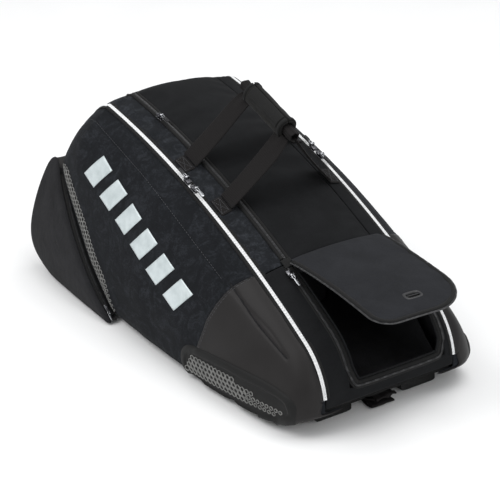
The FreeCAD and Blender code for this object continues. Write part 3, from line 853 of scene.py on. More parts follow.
def perforated_strip(side):
    """Slim panel of staggered cells beside the pocket."""
    foot, head = np.array(STRIP_FOOT), np.array(STRIP_HEAD)
    way = (head - foot) / np.linalg.norm(head - foot)
    out = np.array([way[1], -way[0]])
    length = np.linalg.norm(head - foot)

    def width(s):
        return STRIP_WIDTH * min(1.0, 0.15 + s / 70) * min(1.0, 0.25 + (length - s) / 30)

    rows = []
    for s in np.linspace(0, length, 60):
        rows.append([on_side(*(foot + way * s + out * (4 + width(s) * w)), lift, side)
                     for w, lift in ((0, 0.1), (0.08, 1.2), (0.5, 1.5), (0.92, 1.2), (1.0, 0.1))])
    base = grid(f"{side}_strip_base", np.array(rows), TPU_DARK, f"{side}_cover", flip=side == "near",
                slot="print_grey", replaces=(f"{side}_perforated_strip",))
    centres = []
    for k in range(int(length / STRIP_PITCH)):
        for lane in (0, 1, 2):
            s = STRIP_PITCH * (k + 0.5 * (lane % 2)) + 4
            across = 4 + width(min(s, length)) * (0.14 + 0.36 * lane)
            p = foot + way * s + out * across
            if s < length - 3:
                centres.append((p[0], p[1]))

    def radius(x, z):
        s = float(np.dot(np.array((x, z)) - foot, way))
        return 4.9 * min(1.0, 0.3 + s / 90) * min(1.0, 0.35 + (length - s) / 40)

    add_layer(side, base)
    verts, faces = hex_cells(centres, radius, -0.1, side, 1.2, 0.80)
    make(f"{side}_strip_cells", verts, faces, PRINT_LIGHT, f"{side}_cover", smooth=False)
    return base


BADGE_START, BADGE_END, BADGE_HEIGHT, BADGE_BARS = (-216.0, 249.0), (114.0, 119.0), 50.0, 6
BAR_WIDTH, BAR_SLANT = 0.62, 0.30


def badge(side):
    """Generic printed badge: slanted bars in a row."""
    start, end = np.array(BADGE_START), np.array(BADGE_END)
    run = end - start
    length = np.linalg.norm(run)
    along = run / length
    across = np.array([-along[1], along[0]])
    pitch = length / BADGE_BARS
    verts, faces = [], []
    cells_u, cells_v = 12, 16
    nu, nv = cells_u + 1, cells_v + 1
    for bar in range(BADGE_BARS):
        base = len(verts)
        for lift in (0.0, 0.9):
            for u in np.arange(nu) / cells_u:
                for v in np.arange(nv) / cells_v:
                    d = bar * pitch + BAR_WIDTH * pitch * u + BAR_SLANT * pitch * v
                    p = start + along * d + across * (v - 0.5) * BADGE_HEIGHT
                    verts.append(on_side(p[0], p[1], lift, side))
        top = base + nu * nv
        faces += [tuple(top + i for i in face) for face in grid_faces(nu, nv, flip=side == "far")]
        border = [(i, 0) for i in range(cells_u)] + [(cells_u, j) for j in range(cells_v)]
        border += [(i, cells_v) for i in range(cells_u, 0, -1)] + [(0, j) for j in range(cells_v, 0, -1)]
        for (i0, j0), (i1, j1) in zip(border, border[1:] + border[:1]):
            a, b = base + i0 * nv + j0, base + i1 * nv + j1
            wall = (a, b, b + nu * nv, a + nu * nv)
            faces.append(wall if side == "near" else (wall[0], wall[3], wall[2], wall[1]))
    return make(f"{side}_badge_bars", np.array(verts), faces, SILVER, f"{side}_cover", slot="silver_print",
                replaces=(f"{side}_side_emblem",))


def panel_seam(side):
    """Thread along the side panel's own seam."""
    line = [(x, seam_z(x) - seam_drop(x) + 1.5) for x in np.linspace(-330, 160, 60)]
    stitches(f"{side}_panel_stitch", side, line, 0.0, f"{side}_cover", material=THREAD)


for SIDE_NAME in ("near", "far"):
    side_cover(SIDE_NAME)
    corner_panel(SIDE_NAME)
    honeycomb(SIDE_NAME)
    perforated_strip(SIDE_NAME)
    badge(SIDE_NAME)
    panel_seam(SIDE_NAME)

# ---- top, ends and nose --------------------------------------------------------------------------

BODY = "bag"
CAP_LOW_WIDE, CAP_LOW_NOSE = 24.0, 46.0
TOP_START, TOP_END = -286.0, 208.0
COIL_PITCH, COIL_STEP, EDGE_COIL_STEP = 1.9, 0.8, 0.9


def top_profile(start, end, step=8.0, caps=True):
    """Stations of the top in side view, as (x, share of the height), with shares below 1 on the end caps."""
    rows = []
    if caps and start <= WIDE_END:
        rows += [(WIDE_END, f) for f in np.linspace(0.0, 0.9, 8)]
    rows += [(x, 1.0) for x in XS if start + 0.5 < x < end - 0.5 and (x > WIDE_END or start > WIDE_END)]
    if start > WIDE_END:
        rows = [(start, 1.0)] + rows
    if end < NARROW_END:
        rows = rows + [(end, 1.0)]
    else:
        rows += [(NARROW_END, 1.0)]
        if caps:
            rows += [(NARROW_END, f) for f in np.linspace(0.85, 0.0, 6)]
    return rows


def top_point(x, share, y):
    """A point of the top skin; share below 1 lies on an end cap."""
    high = seam_z(x) + crown(y)
    if share >= 1.0:
        return (x, y, high)
    low = CAP_LOW_WIDE if x < 0 else CAP_LOW_NOSE
    return (x, y, low + (high - low) * share)


def top_sheet(name, start, end, y0, y1, columns, material, body, slot, replaces=(), bulge=1.8, sim=None,
              dips=(True, True), wave=0.6, size=60, seed=1.0, hole=None, thick=2.6):
    rows = top_profile(start, end)
    ys = np.linspace(y0, y1, columns)
    points = np.array([[top_point(x, f, y) for y in ys] for x, f in rows], float)
    n = normals(points)
    edge = np.full(columns, 99.0)
    if dips[0]:
        edge = np.minimum(edge, ys - y0)
    if dips[1]:
        edge = np.minimum(edge, y1 - ys)
    lift = bulge * (1 - np.exp(-edge / 9.0)) - 0.6
    points = points + n * lift[None, :, None]
    points = wrinkle(points, n, wave, size, seed)
    nu, nv = points.shape[:2]
    obj = grid(name, points, material, body, slot=slot, replaces=replaces, inner=LINING)
    if sim:
        puff(obj, rim(nu, nv), pressure=sim[0], cap=sim[1], slack=sim[2])
    layered(obj, thick, inner=True)
    return obj


top_sheet("wide_end_cloth", WIDE_END, TOP_START - 0.3, -S + 0.6, S - 0.6, 40, BLACK, BODY, "top_fabric",
          ("wide_end_panel",), sim=(2.0, 4.0, 0.01))
top_sheet("near_strip_cloth", TOP_START, TOP_END, -S + 1.0, ZIP_Y - 7.0, 16, STRIP, BODY, "strip_fabric",
          ("near_top_strip",), bulge=2.2, sim=(2.5, 3.5, 0.015), seed=4.0)
top_sheet("far_strip_cloth", TOP_START, TOP_END, LID_FAR + 0.5, S - 1.0, 10, BLACK, BODY, "top_fabric",
          ("far_top_strip",), bulge=1.5, seed=5.0)
top_sheet("centre_panel_cloth", TOP_START, TOP_END - 1.1, ZIP_Y + 7.0, LID_FAR, 44, BLACK, "centre_lid",
          "top_fabric", ("centre_lid",), bulge=1.4, sim=(1.6, 4.0, 0.006), seed=6.0, wave=0.5, size=110)


def seam_frame(x, y, share=1.0):
    """Point on the seam line or crown, and the direction out of the bag there."""
    if share >= 1.0:
        ahead, behind = min(x + 1, NARROW_END), max(x - 1, WIDE_END)
        up = np.array([-(seam_z(ahead) - seam_z(behind)) / (ahead - behind), 0.0, 1.0])
        up /= np.linalg.norm(up)
        if x > NARROW_END - 0.01:
            up = np.array([1.0, 0.0, 0.15])
        if x < WIDE_END + 0.01:
            up = np.array([-1.0, 0.0, 0.05])
    else:
        up = np.array([-1.0, 0, 0]) if x < 0 else np.array([1.0, 0, 0])
    return np.array(top_point(x, share, y), float), up / np.linalg.norm(up)


def along_top(y, start, end, low_wide=None, step=COIL_STEP):
    """Path along the top at a distance y, down the wide end where a low is given, with its up directions."""
    rough, ups = [], []
    if low_wide is not None:
        high = seam_z(WIDE_END) + crown(y)
        for f in np.linspace((low_wide - CAP_LOW_WIDE) / (high - CAP_LOW_WIDE), 0.97, 8):
            p, u = seam_frame(WIDE_END, y, f)
            rough.append(p), ups.append(u)
    for x in XS:
        if start <= x <= end and not (x <= WIDE_END and low_wide is not None):
            p, u = seam_frame(x, y)
            rough.append(p), ups.append(u)
    both = resample(np.concatenate([np.array(rough), np.array(ups) * 0.001], 1), step)
    path, up = both[:, :3], both[:, 3:]
    up /= np.maximum(np.linalg.norm(up, axis=1, keepdims=True), 1e-9)
    return path, up


def coil_profile(half, height, inner, sign, step=COIL_STEP):
    """Cross-section of one half of a coil at a step; teeth rise and fall along it."""

    def at(k):
        swell = 0.5 + 0.5 * math.cos(2 * math.pi * k * step / COIL_PITCH)
        h = height * (0.62 + 0.38 * swell)
        a0, a1 = sign * inner, sign * half
        edge = sign * (half - 0.35 * (1 - swell))
        return [(a0, 0.0), (a0, h * 0.92), ((a0 + a1) / 2, h), (edge, h * 0.66), (edge, 0.0)][::-int(sign)]

    return at


def main_zip(side):
    """White coil with black tape on both edges, along the top line and down both ends."""
    y = -S if side == "near" else S
    sign_in = 1 if side == "near" else -1
    path, up = along_top(y, WIDE_END, NARROW_END, low_wide=64.0)
    up = up + np.array([0.0, -0.25 * sign_in, 0.0])
    up /= np.linalg.norm(up, axis=1, keepdims=True)
    for name, sign, body in (("inner", sign_in, BODY), ("outer", -sign_in, f"{side}_cover")):
        at = coil_profile(3.0, 2.6, 0.12, -sign)
        sweep(f"{side}_{name}_coil", path, up, at, WHITE, body, slot="zip_white",
              replaces=(f"{side}_zip_{name}_chain",), smooth=False)
        s = -sign
        lo, hi = sorted((s * 2.7, s * 8.5))
        inner_mm, outer_mm = (0.75, 0.35) if s > 0 else (0.35, 0.75)
        tape = [(lo, -1.4), (hi, -1.4), (hi, outer_mm), ((lo + hi) / 2, 0.9), (lo, inner_mm)]
        sweep(f"{side}_{name}_tape", path[::4], up[::4], tape, TAPE, body)


for SIDE_NAME in ("near", "far"):
    main_zip(SIDE_NAME)

# centre zip: covered by two folded edges with a dark line between them
path, up = along_top(ZIP_Y, TOP_START, TOP_END - 1.0)
for name, sign, body, node in (("strip", 1, BODY, "centre_zip_strip_chain"),
                               ("lid", -1, "centre_lid", "centre_zip_lid_chain")):
    sweep(f"centre_{name}_coil", path, up, coil_profile(2.4, 1.6, 0.12, sign), COIL, body,
          slot="zip_black", replaces=(node,), smooth=False)
    lo, hi = sorted((sign * 2.2, sign * 8.2))
    fold = [(lo, -1.6), (hi, -1.6), (hi, 1.0), (lo * 0.3 + hi * 0.7, 2.3), (lo * 0.7 + hi * 0.3, 2.2),
            (lo, 0.4)]
    sweep(f"centre_{name}_fold", path[::4], up[::4], fold, TRIM, body)

# ---- nose panel and the shoe mouth ---------------------------------------------------------------


def nose_cloth():
    """Skin round the shoe mouth: near strip, far strip and the lip below, one piece."""
    rows = top_profile(208.3, NARROW_END)
    ys = np.concatenate([np.linspace(-S + 0.8, MOUTH_Y[0], 9),
                         np.linspace(MOUTH_Y[0] + 6, MOUTH_Y[1] - 6, 24),
                         np.linspace(MOUTH_Y[1], S - 0.8, 5)])
    points = np.array([[top_point(x, f, y) for y in ys] for x, f in rows], float)
    n = normals(points)
    points += n * 1.0
    points = wrinkle(points, n, 0.7, 45, 12.0)
    nu, nv = points.shape[:2]
    heights = points[:, :, 2]
    faces = []
    for face in grid_faces(nu, nv):
        i, j = divmod(face[0], nv)
        middle_y = (ys[j] + ys[j + 1]) / 2
        z = (heights[i, j] + heights[i + 1, j]) / 2
        if not MOUTH_Y[0] < middle_y < MOUTH_Y[1] or z <= LIP_Z + 2:
            faces.append(face)
    used = sorted({v for f in faces for v in f})
    index = {v: k for k, v in enumerate(used)}
    faces = [tuple(index[v] for v in f) for f in faces]
    obj = make("nose_cloth", points.reshape(-1, 3)[used], faces, BLACK, BODY, slot="top_fabric",
               replaces=("nose_panel",), inner=LINING)
    layered(obj, 3.0, inner=True)
    return obj


nose_cloth()


def mouth_path(step=EDGE_COIL_STEP):
    """Round the mouth's edge: down the near side, across the lip and up the far side."""
    near, far = ([seam_frame(x, y) for x in [212] + [x for x in XS if 214 < x < 378]] for y in MOUTH_Y)
    middle, half = (MOUTH_Y[0] + MOUTH_Y[1]) / 2, (MOUTH_Y[1] - MOUTH_Y[0]) / 2
    lip = [(np.array([NARROW_END - 0.5, y, LIP_Z + 1.0 + 4 * (abs(y - middle) / half) ** 6]), (0.9, 0, 0.45))
           for y in np.linspace(MOUTH_Y[0] + 10, MOUTH_Y[1] - 10, 16)]
    both = np.array([np.concatenate([p, u]) for p, u in near + lip + far[::-1]])
    fine = resample(rounded(both, 3, closed=False), step)
    up = fine[:, 3:] / np.linalg.norm(fine[:, 3:], axis=1, keepdims=True)
    return fine[:, :3] + up * 1.0, up


path, up = mouth_path()
sweep("mouth_tape", path[::3], up[::3],
      [(6.5, -1.4), (6.5, -0.6), (1.0, 0.7), (-2.4, 1.5), (-7.0, 1.3), (-7.5, -1.5)], TAPE, BODY)
sweep("mouth_coil", path, up, coil_profile(3.2, 2.6, 0.2, 1, EDGE_COIL_STEP), COIL, BODY, smooth=False)
sweep("mouth_piping", path[::3] + up[::3] * 0.6, up[::3],
      [(c - 9.6, s + 1.2) for c, s in oval(1.7, 1.7, 8)], BLACK, BODY)


TURN_X = 296.0
TUNNEL_X, TUNNEL_Y, TUNNEL_CORNER = (74, 371), (-73.0, 101.0), 10.0
TUNNEL_FLOOR, FLOOR_SLOPE = 28.0, 0.28
ROOF_X, ROOF_Z, ROOF_SLOPE = (72, 214, 372), (180.0, 186.0, 62.0), 0.042


def tunnel_floor(x):
    return TUNNEL_FLOOR + max(0.0, x - TURN_X) * FLOOR_SLOPE


def tunnel_roof(x):
    if x <= ROOF_X[1]:
        return ROOF_Z[0] + (x - ROOF_X[0]) * ROOF_SLOPE
    return ROOF_Z[1] + (x - ROOF_X[1]) * (ROOF_Z[2] - ROOF_Z[1]) / (ROOF_X[2] - ROOF_X[1])


def tunnel_lining():
    """Soft lining of the shoe tunnel: walls, floor, roof and back, with folds."""
    (y0, y1), corner = TUNNEL_Y, TUNNEL_CORNER
    xs = np.linspace(*TUNNEL_X, 44)
    rows = []
    for x in xs:
        lo = tunnel_floor(x)
        hi = max(tunnel_roof(x), lo + 6)
        section = [(y0, z) for z in np.linspace(hi, lo + corner, 14)]
        section += [(y0 + corner * (1 - math.cos(a)), lo + corner * (1 - math.sin(a)))
                    for a in np.linspace(0.2, 1.4, 4)]
        section += [(y, lo) for y in np.linspace(y0 + 12, y1 - 12, 18)]
        section += [(y1 - corner * (1 - math.cos(a)), lo + corner * (1 - math.sin(a)))
                    for a in np.linspace(1.4, 0.2, 4)]
        section += [(y1, z) for z in np.linspace(lo + corner, hi, 14)]
        rows.append([(x, y, z) for y, z in section])
    points = np.array(rows)
    n = normals(points, True)
    points = wrinkle(points, n, 2.2, 42, 20.0)
    trough = grid("tunnel_lining", points, LINING, BODY, flip=True, slot="lining", replaces=("shoe_tunnel",))
    thicken(trough, 1.4)
    xs = np.linspace(TUNNEL_X[0], ROOF_X[1] - 1, 20)
    ys = np.linspace(y0, y1, 24)
    arch = [math.sin((y - y0) / (y1 - y0) * math.pi) for y in ys]
    top = np.array([[(x, y, tunnel_roof(x) - 1 + 2.5 * a) for y, a in zip(ys, arch)] for x in xs])
    top = wrinkle(top, normals(top), 2.0, 40, 22.0)
    thicken(grid("tunnel_roof", top, LINING, BODY, slot="lining"), 1.2)
    zs = np.linspace(TUNNEL_FLOOR, ROOF_Z[0] - 1, 18)
    back = np.array([[(75.0 + 3 * a, y, z) for y, a in zip(ys, arch)] for z in zs])
    back = wrinkle(back, normals(back), 1.6, 36, 24.0)
    thicken(grid("tunnel_back", back, LINING, BODY, flip=True, slot="lining"), 1.2)


tunnel_lining()


def zip_garage():
    """Small tab of webbing over the place where the centre zip and the shoe zip meet."""
    xs, ys = np.linspace(202, 217.5, 12), np.linspace(ZIP_Y - 10, ZIP_Y + 7, 12)
    points = [[(x, y, seam_z(x) + crown(y) + 3.0 + 0.5 * math.cos((y - ZIP_Y) * 0.25)) for y in ys]
              for x in xs]
    thicken(grid("zip_garage", points, TAPE, BODY), 1.4, 0.0)


zip_garage()

# ---- shoe flap -----------------------------------------------------------------------------------

FLAP_X0, FLAP_X1 = 214.0, 450.0
FLAP_Y0, FLAP_Y1 = -73.0, 102.0
FLAP_CORNER, FLAP_FAR_CORNER = 30.0, 76.0
VENT_X, VENT_Y = 406.0, 18.0
VENT_HOLE, VENT_FRAME = (6.0, 13.0), (5.5, 12.0)
FLAP_Z = 213.2


def flap_height(x, y):
    u = min(max((x - FLAP_X0) / (FLAP_X1 - FLAP_X0), 0.0), 1.0)
    v = (y - FLAP_Y0) / (FLAP_Y1 - FLAP_Y0)
    droop = -5.0 * u ** 2 - 9.0 * u ** 2 * v
    wave = 3.4 * math.sin(math.pi * u * 1.15) * (1 - v) ** 2
    crest = 2.4 * math.sin(math.pi * v) * (1 - 0.4 * u)
    tuck = -3.0 * math.exp(-u * 14) * (2 * v - 1) ** 2
    return FLAP_Z + droop + wave + crest + tuck


def flap_edge(y_share, inset=0.0):
    """Furthest x of the flap at a share across, with its two round corners."""
    y = FLAP_Y0 + inset + (FLAP_Y1 - FLAP_Y0 - 2 * inset) * y_share
    x1 = FLAP_X1 - inset
    for d, r in ((y - FLAP_Y0 - inset, FLAP_CORNER - inset), (FLAP_Y1 - inset - y, FLAP_FAR_CORNER - inset)):
        if d < r:
            return x1 - r + math.sqrt(max(r * r - (r - d) ** 2, 0.0)), y
    return x1, y


def shoe_flap():
    nu, nv = 54, 48
    shares = 0.5 - 0.5 * np.cos(np.linspace(0, math.pi, nv))
    points = np.zeros((nu, nv, 3))
    for j, share in enumerate(shares):
        end, y = flap_edge(share, 3.0)
        for i in range(nu):
            x = 211.0 + (end - 211.0) * (1 - (1 - i / (nu - 1)) ** 1.12)
            points[i, j] = (x, y, flap_height(x, y))
    points = wrinkle(points, normals(points), 0.8, 75, 30.0)
    faces = []
    for face in grid_faces(nu, nv):
        i, j = divmod(face[0], nv)
        mid = (points[i, j] + points[i + 1, j + 1]) / 2
        if abs(mid[0] - VENT_X) >= VENT_HOLE[0] or abs(mid[1] - VENT_Y) >= VENT_HOLE[1]:
            faces.append(face)
    obj = make("flap_cloth", points.reshape(-1, 3), faces, FLAP, "shoe_flap", slot="top_fabric",
               replaces=("shoe_flap",), inner=LINING)
    puff(obj, rim(nu, nv), pressure=1.2, cap=2.5, slack=0.004, frames=10)
    layered(obj, 3.6, 0.0, inner=True)
    return obj


shoe_flap()


def flap_border(inset=0.0, step=EDGE_COIL_STEP):
    line = [(x, FLAP_Y0 + inset) for x in np.linspace(FLAP_X0 + 6, FLAP_X1 - FLAP_CORNER, 30)]
    r = FLAP_CORNER - inset
    line += [(FLAP_X1 - FLAP_CORNER + r * math.sin(a), FLAP_Y0 + FLAP_CORNER - r * math.cos(a))
             for a in np.linspace(0.08, math.pi / 2, 12)]
    r = FLAP_FAR_CORNER - inset
    line += [(FLAP_X1 - FLAP_FAR_CORNER + r * math.cos(a), FLAP_Y1 - FLAP_FAR_CORNER + r * math.sin(a))
             for a in np.linspace(0, math.pi / 2, 20)]
    line += [(x, FLAP_Y1 - inset) for x in np.linspace(FLAP_X1 - FLAP_FAR_CORNER, FLAP_X0 + 6, 30)]
    fine = resample(np.array(line), step)
    return np.array([(x, y, flap_height(x, y)) for x, y in fine])


path = flap_border(1.2)
up = upright(len(path))
sweep("flap_binding_tape", path[::3], up[::3],
      [(across * (1.0 if across > 0 else 1.5), rise) for across, rise in oval(3.6, 3.1, 12)],
      TRIM, "shoe_flap", slot="webbing", replaces=("flap_binding",))
path = flap_border(-2.6)
sweep("flap_coil", path - up[:1] * 1.2, upright(len(path)),
      coil_profile(2.2, 2.4, -0.6, 1, EDGE_COIL_STEP), COIL, "shoe_flap", smooth=False)


def eyelet():
    """Moulded vent: a raised rounded frame with a woven insert behind it."""
    cx, cy = VENT_X, VENT_Y
    rings = []
    for grow, up_mm in ((5.0, 0.2), (4.4, 1.6), (2.6, 2.3), (0.6, 1.9), (-0.4, 0.2), (-0.8, -2.0)):
        ring = []
        for a in angles(40):
            c, s = boxy(a, 4)
            x, y = cx + (VENT_FRAME[0] + grow) * c, cy + (VENT_FRAME[1] + grow) * s
            ring.append((x, y, flap_height(x, y) + 1.9 + up_mm))
        rings.append(ring)
    grid("vent_frame", np.array(rings), NYLON, "shoe_flap", close_v=True, slot="moulded",
         replaces=("vent_eyelet",))
    xs, ys = np.linspace(cx - 6, cx + 6, 9), np.linspace(cy - 12.5, cy + 12.5, 17)
    mesh_pts = np.array([[(x, y, flap_height(x, y) + 0.4 + 0.3 * math.sin(x * 2) * math.sin(y * 2))
                          for y in ys] for x in xs])
    thicken(grid("vent_mesh", mesh_pts, PAD, "shoe_flap"), 0.8)
    bar = [(cx, y, flap_height(cx, y) + 2.6) for y in np.linspace(cy - 11, cy + 11, 12)]
    sweep("vent_bar", bar, upright(12),
          [(-0.6, 0.9), (0.6, 0.9), (0.9, -0.8), (-0.9, -0.8)], NYLON, "shoe_flap")


eyelet()

# ---- corner pockets ------------------------------------------------------------------------------

LEAN_Z = (0, 40, 80, 125, 160, 205, 250)
LEAN_Y = (230, 236, 234, 226, 214, 196, 172)
LEAN_FIT = np.polyfit(LEAN_Z, LEAN_Y, 4)
POCKET_CENTRE = np.array((-264.0, 88.0))
SLANT_START, SLANT_END = np.array((-95.0, 8.0)), np.array((-322.0, 196.0))


def lean(z):
    return float(np.polyval(LEAN_FIT, z))


def pocket_outline(count=150):
    line = rounded(POCKET, 2)
    line = np.concatenate([line, line[:1]])
    return resample(line, 5.0)[:-1]


def pocket_back(x, z):
    """How near the middle plane a pocket's gusset reaches at a point."""
    y = 150.0 if x < -352 else max(150.0, side_y(x, z) - 1.0)
    if z < 16:
        y = max(y, 216.0)
    return y


def pocket(side):
    outline = pocket_outline()
    shares = (1.0, 1.0, 0.992, 0.975, 0.95, 0.90, 0.82, 0.70, 0.55, 0.40, 0.25, 0.12, 0.004)
    drops = (6.5, 3.6, 1.6, 0.6, 0.2, 0, 0, 0, 0, 0, 0, 0, 0)
    rows = []
    for share, drop in zip(shares, drops):
        ring = []
        for p in outline:
            x, z = POCKET_CENTRE + (p - POCKET_CENTRE) * share
            bulge = 2.2 * (1 - share ** 2)
            ring.append((x, -(lean(z) + 2.2 - drop + bulge), max(z, 1.0)))
        rows.append(ring)
    points = np.array(rows)
    points[3:] = wrinkle(points[3:], normals(points)[3:], 0.8, 80, 40.0)
    face = grid(f"{side}_pocket_front", mirror(points, side), TPU_POCKET, f"{side}_pocket_face", close_v=True,
                flip=side == "far", slot="coated_panel", replaces=(f"{side}_pocket_face",), inner=LINING)
    layered(face, 2.2, inner=True)
    rows = []
    for f in np.linspace(0, 1, 9):
        ring = []
        for p in outline:
            x, z = p
            front = lean(z) - 4.6
            y = front + (pocket_back(x, z) - front) * f
            pinch = 1.0 - 0.010 * math.sin(math.pi * min(1.0, f * 1.3))
            x, z = POCKET_CENTRE + (p - POCKET_CENTRE) * pinch
            ring.append((x, -y, max(z, 1.0)))
        rows.append(ring)
    points = np.array(rows)
    points = wrinkle(points, normals(points), 0.9, 30, 44.0)
    shell = grid(f"{side}_pocket_gusset", mirror(points, side), TPU_POCKET, f"{side}_cover", close_v=True,
                 flip=side == "near", slot="coated_panel", replaces=(f"{side}_pocket_shell",), inner=SHADE_CLOTH)
    # the slanted side of the gusset, along the pocket zip, gets the dark cloth: painted shade of the recess
    # between the pocket face and the strip
    run = SLANT_END - SLANT_START
    way = run / np.linalg.norm(run)
    out = np.array([way[1], -way[0]])
    count = len(outline)
    for index, polygon in enumerate(shell.data.polygons):
        p = outline[index % count] - SLANT_START
        if abs(np.dot(p, out)) < 9 and 0 < np.dot(p, way) < np.linalg.norm(run):
            polygon.material_index = 1
    layered(shell, 1.6, 1.0)
    line = np.array([SLANT_START + run * f for f in np.linspace(0.03, 0.97, 200)])
    zip_path = np.array([(x + out[0] * 0.6, -(lean(z) - 11.0), z + out[1] * 0.6) for x, z in line])
    zip_path = mirror(resample(zip_path, EDGE_COIL_STEP), side)
    up = np.tile(np.array([out[0], 0.0, out[1]]), (len(zip_path), 1))
    sweep(f"{side}_pocket_coil", zip_path, up, coil_profile(1.9, 1.8, -1.9, 1, EDGE_COIL_STEP), COIL,
          f"{side}_cover", smooth=False)
    sweep(f"{side}_pocket_tape", zip_path[::4], up[::4],
          [(-6.5, -1.6), (6.5, -1.6), (6.5, 0.2), (0, 0.5), (-6.5, 0.2)], TAPE, f"{side}_cover")


for SIDE_NAME in ("near", "far"):
    pocket(SIDE_NAME)

# ---- zip sliders and pulls -----------------------------------------------------------------------

SLIDERS = {
    "near_left": (-8.0, -S, 0.0, True), "near_right": (14.0, -S, 0.0, False),
    "far_left": (-8.0, S, 0.0, True), "far_right": (14.0, S, 0.0, False),
    "centre": (-170.0, ZIP_Y - 5.0, 9.0, False), "shoe": (228.0, MOUTH_Y[0] - 6.0, 5.0, False),
}
LIFT = 5.2
PIN_X, PIN_UP, PULL_LENGTH = 3.5, 5.0, 24.0
POCKET_ZIP_ANGLE, POCKET_SLIDER_X, POCKET_SLIDER_Z = math.atan2(170, 207), -113.6, 21.8


def blocks(items):
    """Six-sided blocks: (x0, x1, y0, y1, z0, z1, end taper)."""
    verts, faces = [], []
    for x0, x1, y0, y1, z0, z1, taper in items:
        k = len(verts)
        c = (y0 + y1) / 2
        for x, t in ((x0, 1.0), (x1, taper)):
            for y, z in ((y0, z0), (y1, z0), (y1, z1), (y0, z1)):
                verts.append((x, c + (y - c) * t, z))
        faces += [(k + 3, k + 2, k + 1, k), (k + 4, k + 5, k + 6, k + 7)]
        for a in range(4):
            b = (a + 1) % 4
            faces.append((k + a, k + b, k + 4 + b, k + 4 + a))
    return verts, faces


def tube(x, z, y0, y1, radius, sides=14):
    """A round bar across the slider."""
    verts, faces = [], []
    for y in (y0, y1):
        verts += [(x + c, y, z + s) for c, s in oval(radius, radius, sides)]
    for k in range(sides):
        m = (k + 1) % sides
        faces.append((k, m, sides + m, sides + k))
    faces += [tuple(range(sides))[::-1], tuple(range(sides, 2 * sides))]
    return verts, faces


def merge(*parts):
    verts, faces = [], []
    for v, f in parts:
        k = len(verts)
        verts += list(v)
        faces += [tuple(i + k for i in face) for face in f]
    return np.array(verts, float), faces


def extrude_loop(loop, z0, z1):
    """A flat outline (x, y) given thickness."""
    n = len(loop)
    verts = [(x, y, z0) for x, y in loop] + [(x, y, z1) for x, y in loop]
    faces = [tuple(range(n))[::-1], tuple(range(n, 2 * n))]
    faces += [(k, (k + 1) % n, n + (k + 1) % n, n + k) for k in range(n)]
    return verts, faces


def ring_plate(outer, inner, z0, z1):
    """A flat outline with a hole of as many points, given thickness."""
    n = len(outer)
    verts = [(x, y, z) for z in (z0, z1) for x, y in outer] + [(x, y, z) for z in (z0, z1) for x, y in inner]
    faces = []
    for k in range(n):
        m = (k + 1) % n
        faces += [(k, m, n + m, n + k), (2 * n + m, 2 * n + k, 3 * n + k, 3 * n + m),
                  (m, k, 2 * n + k, 2 * n + m), (n + k, n + m, 3 * n + m, 3 * n + k)]
    return verts, faces


def rounded_rect(x0, x1, y0, y1, power=4, count=28):
    cx, cy, rx, ry = (x0 + x1) / 2, (y0 + y1) / 2, (x1 - x0) / 2, (y1 - y0) / 2
    return [(cx + rx * c, cy + ry * s) for c, s in (boxy(a, power) for a in angles(count))]


def on_arc(points, x, y, rise, flip):
    """Local slider points moved onto the top line at a station."""
    points = np.array(points, float)
    if flip:
        points = points * np.array([-1.0, -1.0, 1.0])
    return turn(points, math.asin((x - CX) / R)) + np.array([x, y, seam_z(x) + rise])


def slider(name, place):
    body_parts = blocks([(-8, 2, -4.4, 4.4, 1.2, 2.9, 0.95), (2, 8, -4.2, 4.2, 1.2, 2.9, 0.7),
                         (-8, 2, -4.4, 4.4, LIFT, LIFT + 2.6, 0.95), (2, 8, -4.2, 4.2, LIFT, LIFT + 2.6, 0.7),
                         (-3, 5, -1.3, 1.3, 2.8, LIFT + 0.4, 0.5),
                         (1.5, 5.5, -4.2, -3.0, LIFT + 2.4, LIFT + 6.4, 1.0),
                         (1.5, 5.5, 3.0, 4.2, LIFT + 2.4, LIFT + 6.4, 1.0),
                         (-6.5, -4.5, -3.0, 3.0, LIFT + 2.4, LIFT + 3.6, 0.9)])
    verts, faces = merge(body_parts, tube(PIN_X, LIFT + PIN_UP, -4.4, 4.4, 0.7))
    obj = make(f"{name}_slider_body", on_arc(verts, *place), faces, GUN, f"{name}_slider", slot="metal",
               replaces=(f"{name}_slider",))
    soften(obj, 0.5)
    link = ring_plate(rounded_rect(PIN_X - 1.8, PIN_X + 9.5, -2.7, 2.7),
                      rounded_rect(PIN_X + 0.9, PIN_X + 7.6, -1.4, 1.4), LIFT + 4.3, LIFT + 5.7)
    verts, faces = merge(tube(PIN_X, LIFT + PIN_UP, -2.7, 2.7, 1.7), link)
    obj = make(f"{name}_pull_link", on_arc(verts, *place), faces, METAL, f"{name}_pull", slot="metal",
               replaces=(f"{name}_pull",))
    soften(obj, 0.35)
    grip = rounded_rect(PIN_X + 7.8, PIN_X + PULL_LENGTH, -2.7, 2.7, 3.2)
    ridges = [(x, x + 0.8, -2.2, 2.2, LIFT + 6.0, LIFT + 6.7, 1.0)
              for x in np.linspace(PIN_X + 12, PIN_X + 21, 6)]
    verts, faces = merge(extrude_loop(grip, LIFT + 3.9, LIFT + 6.2), blocks(ridges))
    finish = METAL if name in ("shoe", "near_right") else NYLON
    obj = make(f"{name}_pull_grip", on_arc(verts, *place), faces, finish, f"{name}_pull")
    soften(obj, 0.4)


for NAME, PLACE in SLIDERS.items():
    slider(NAME, PLACE)


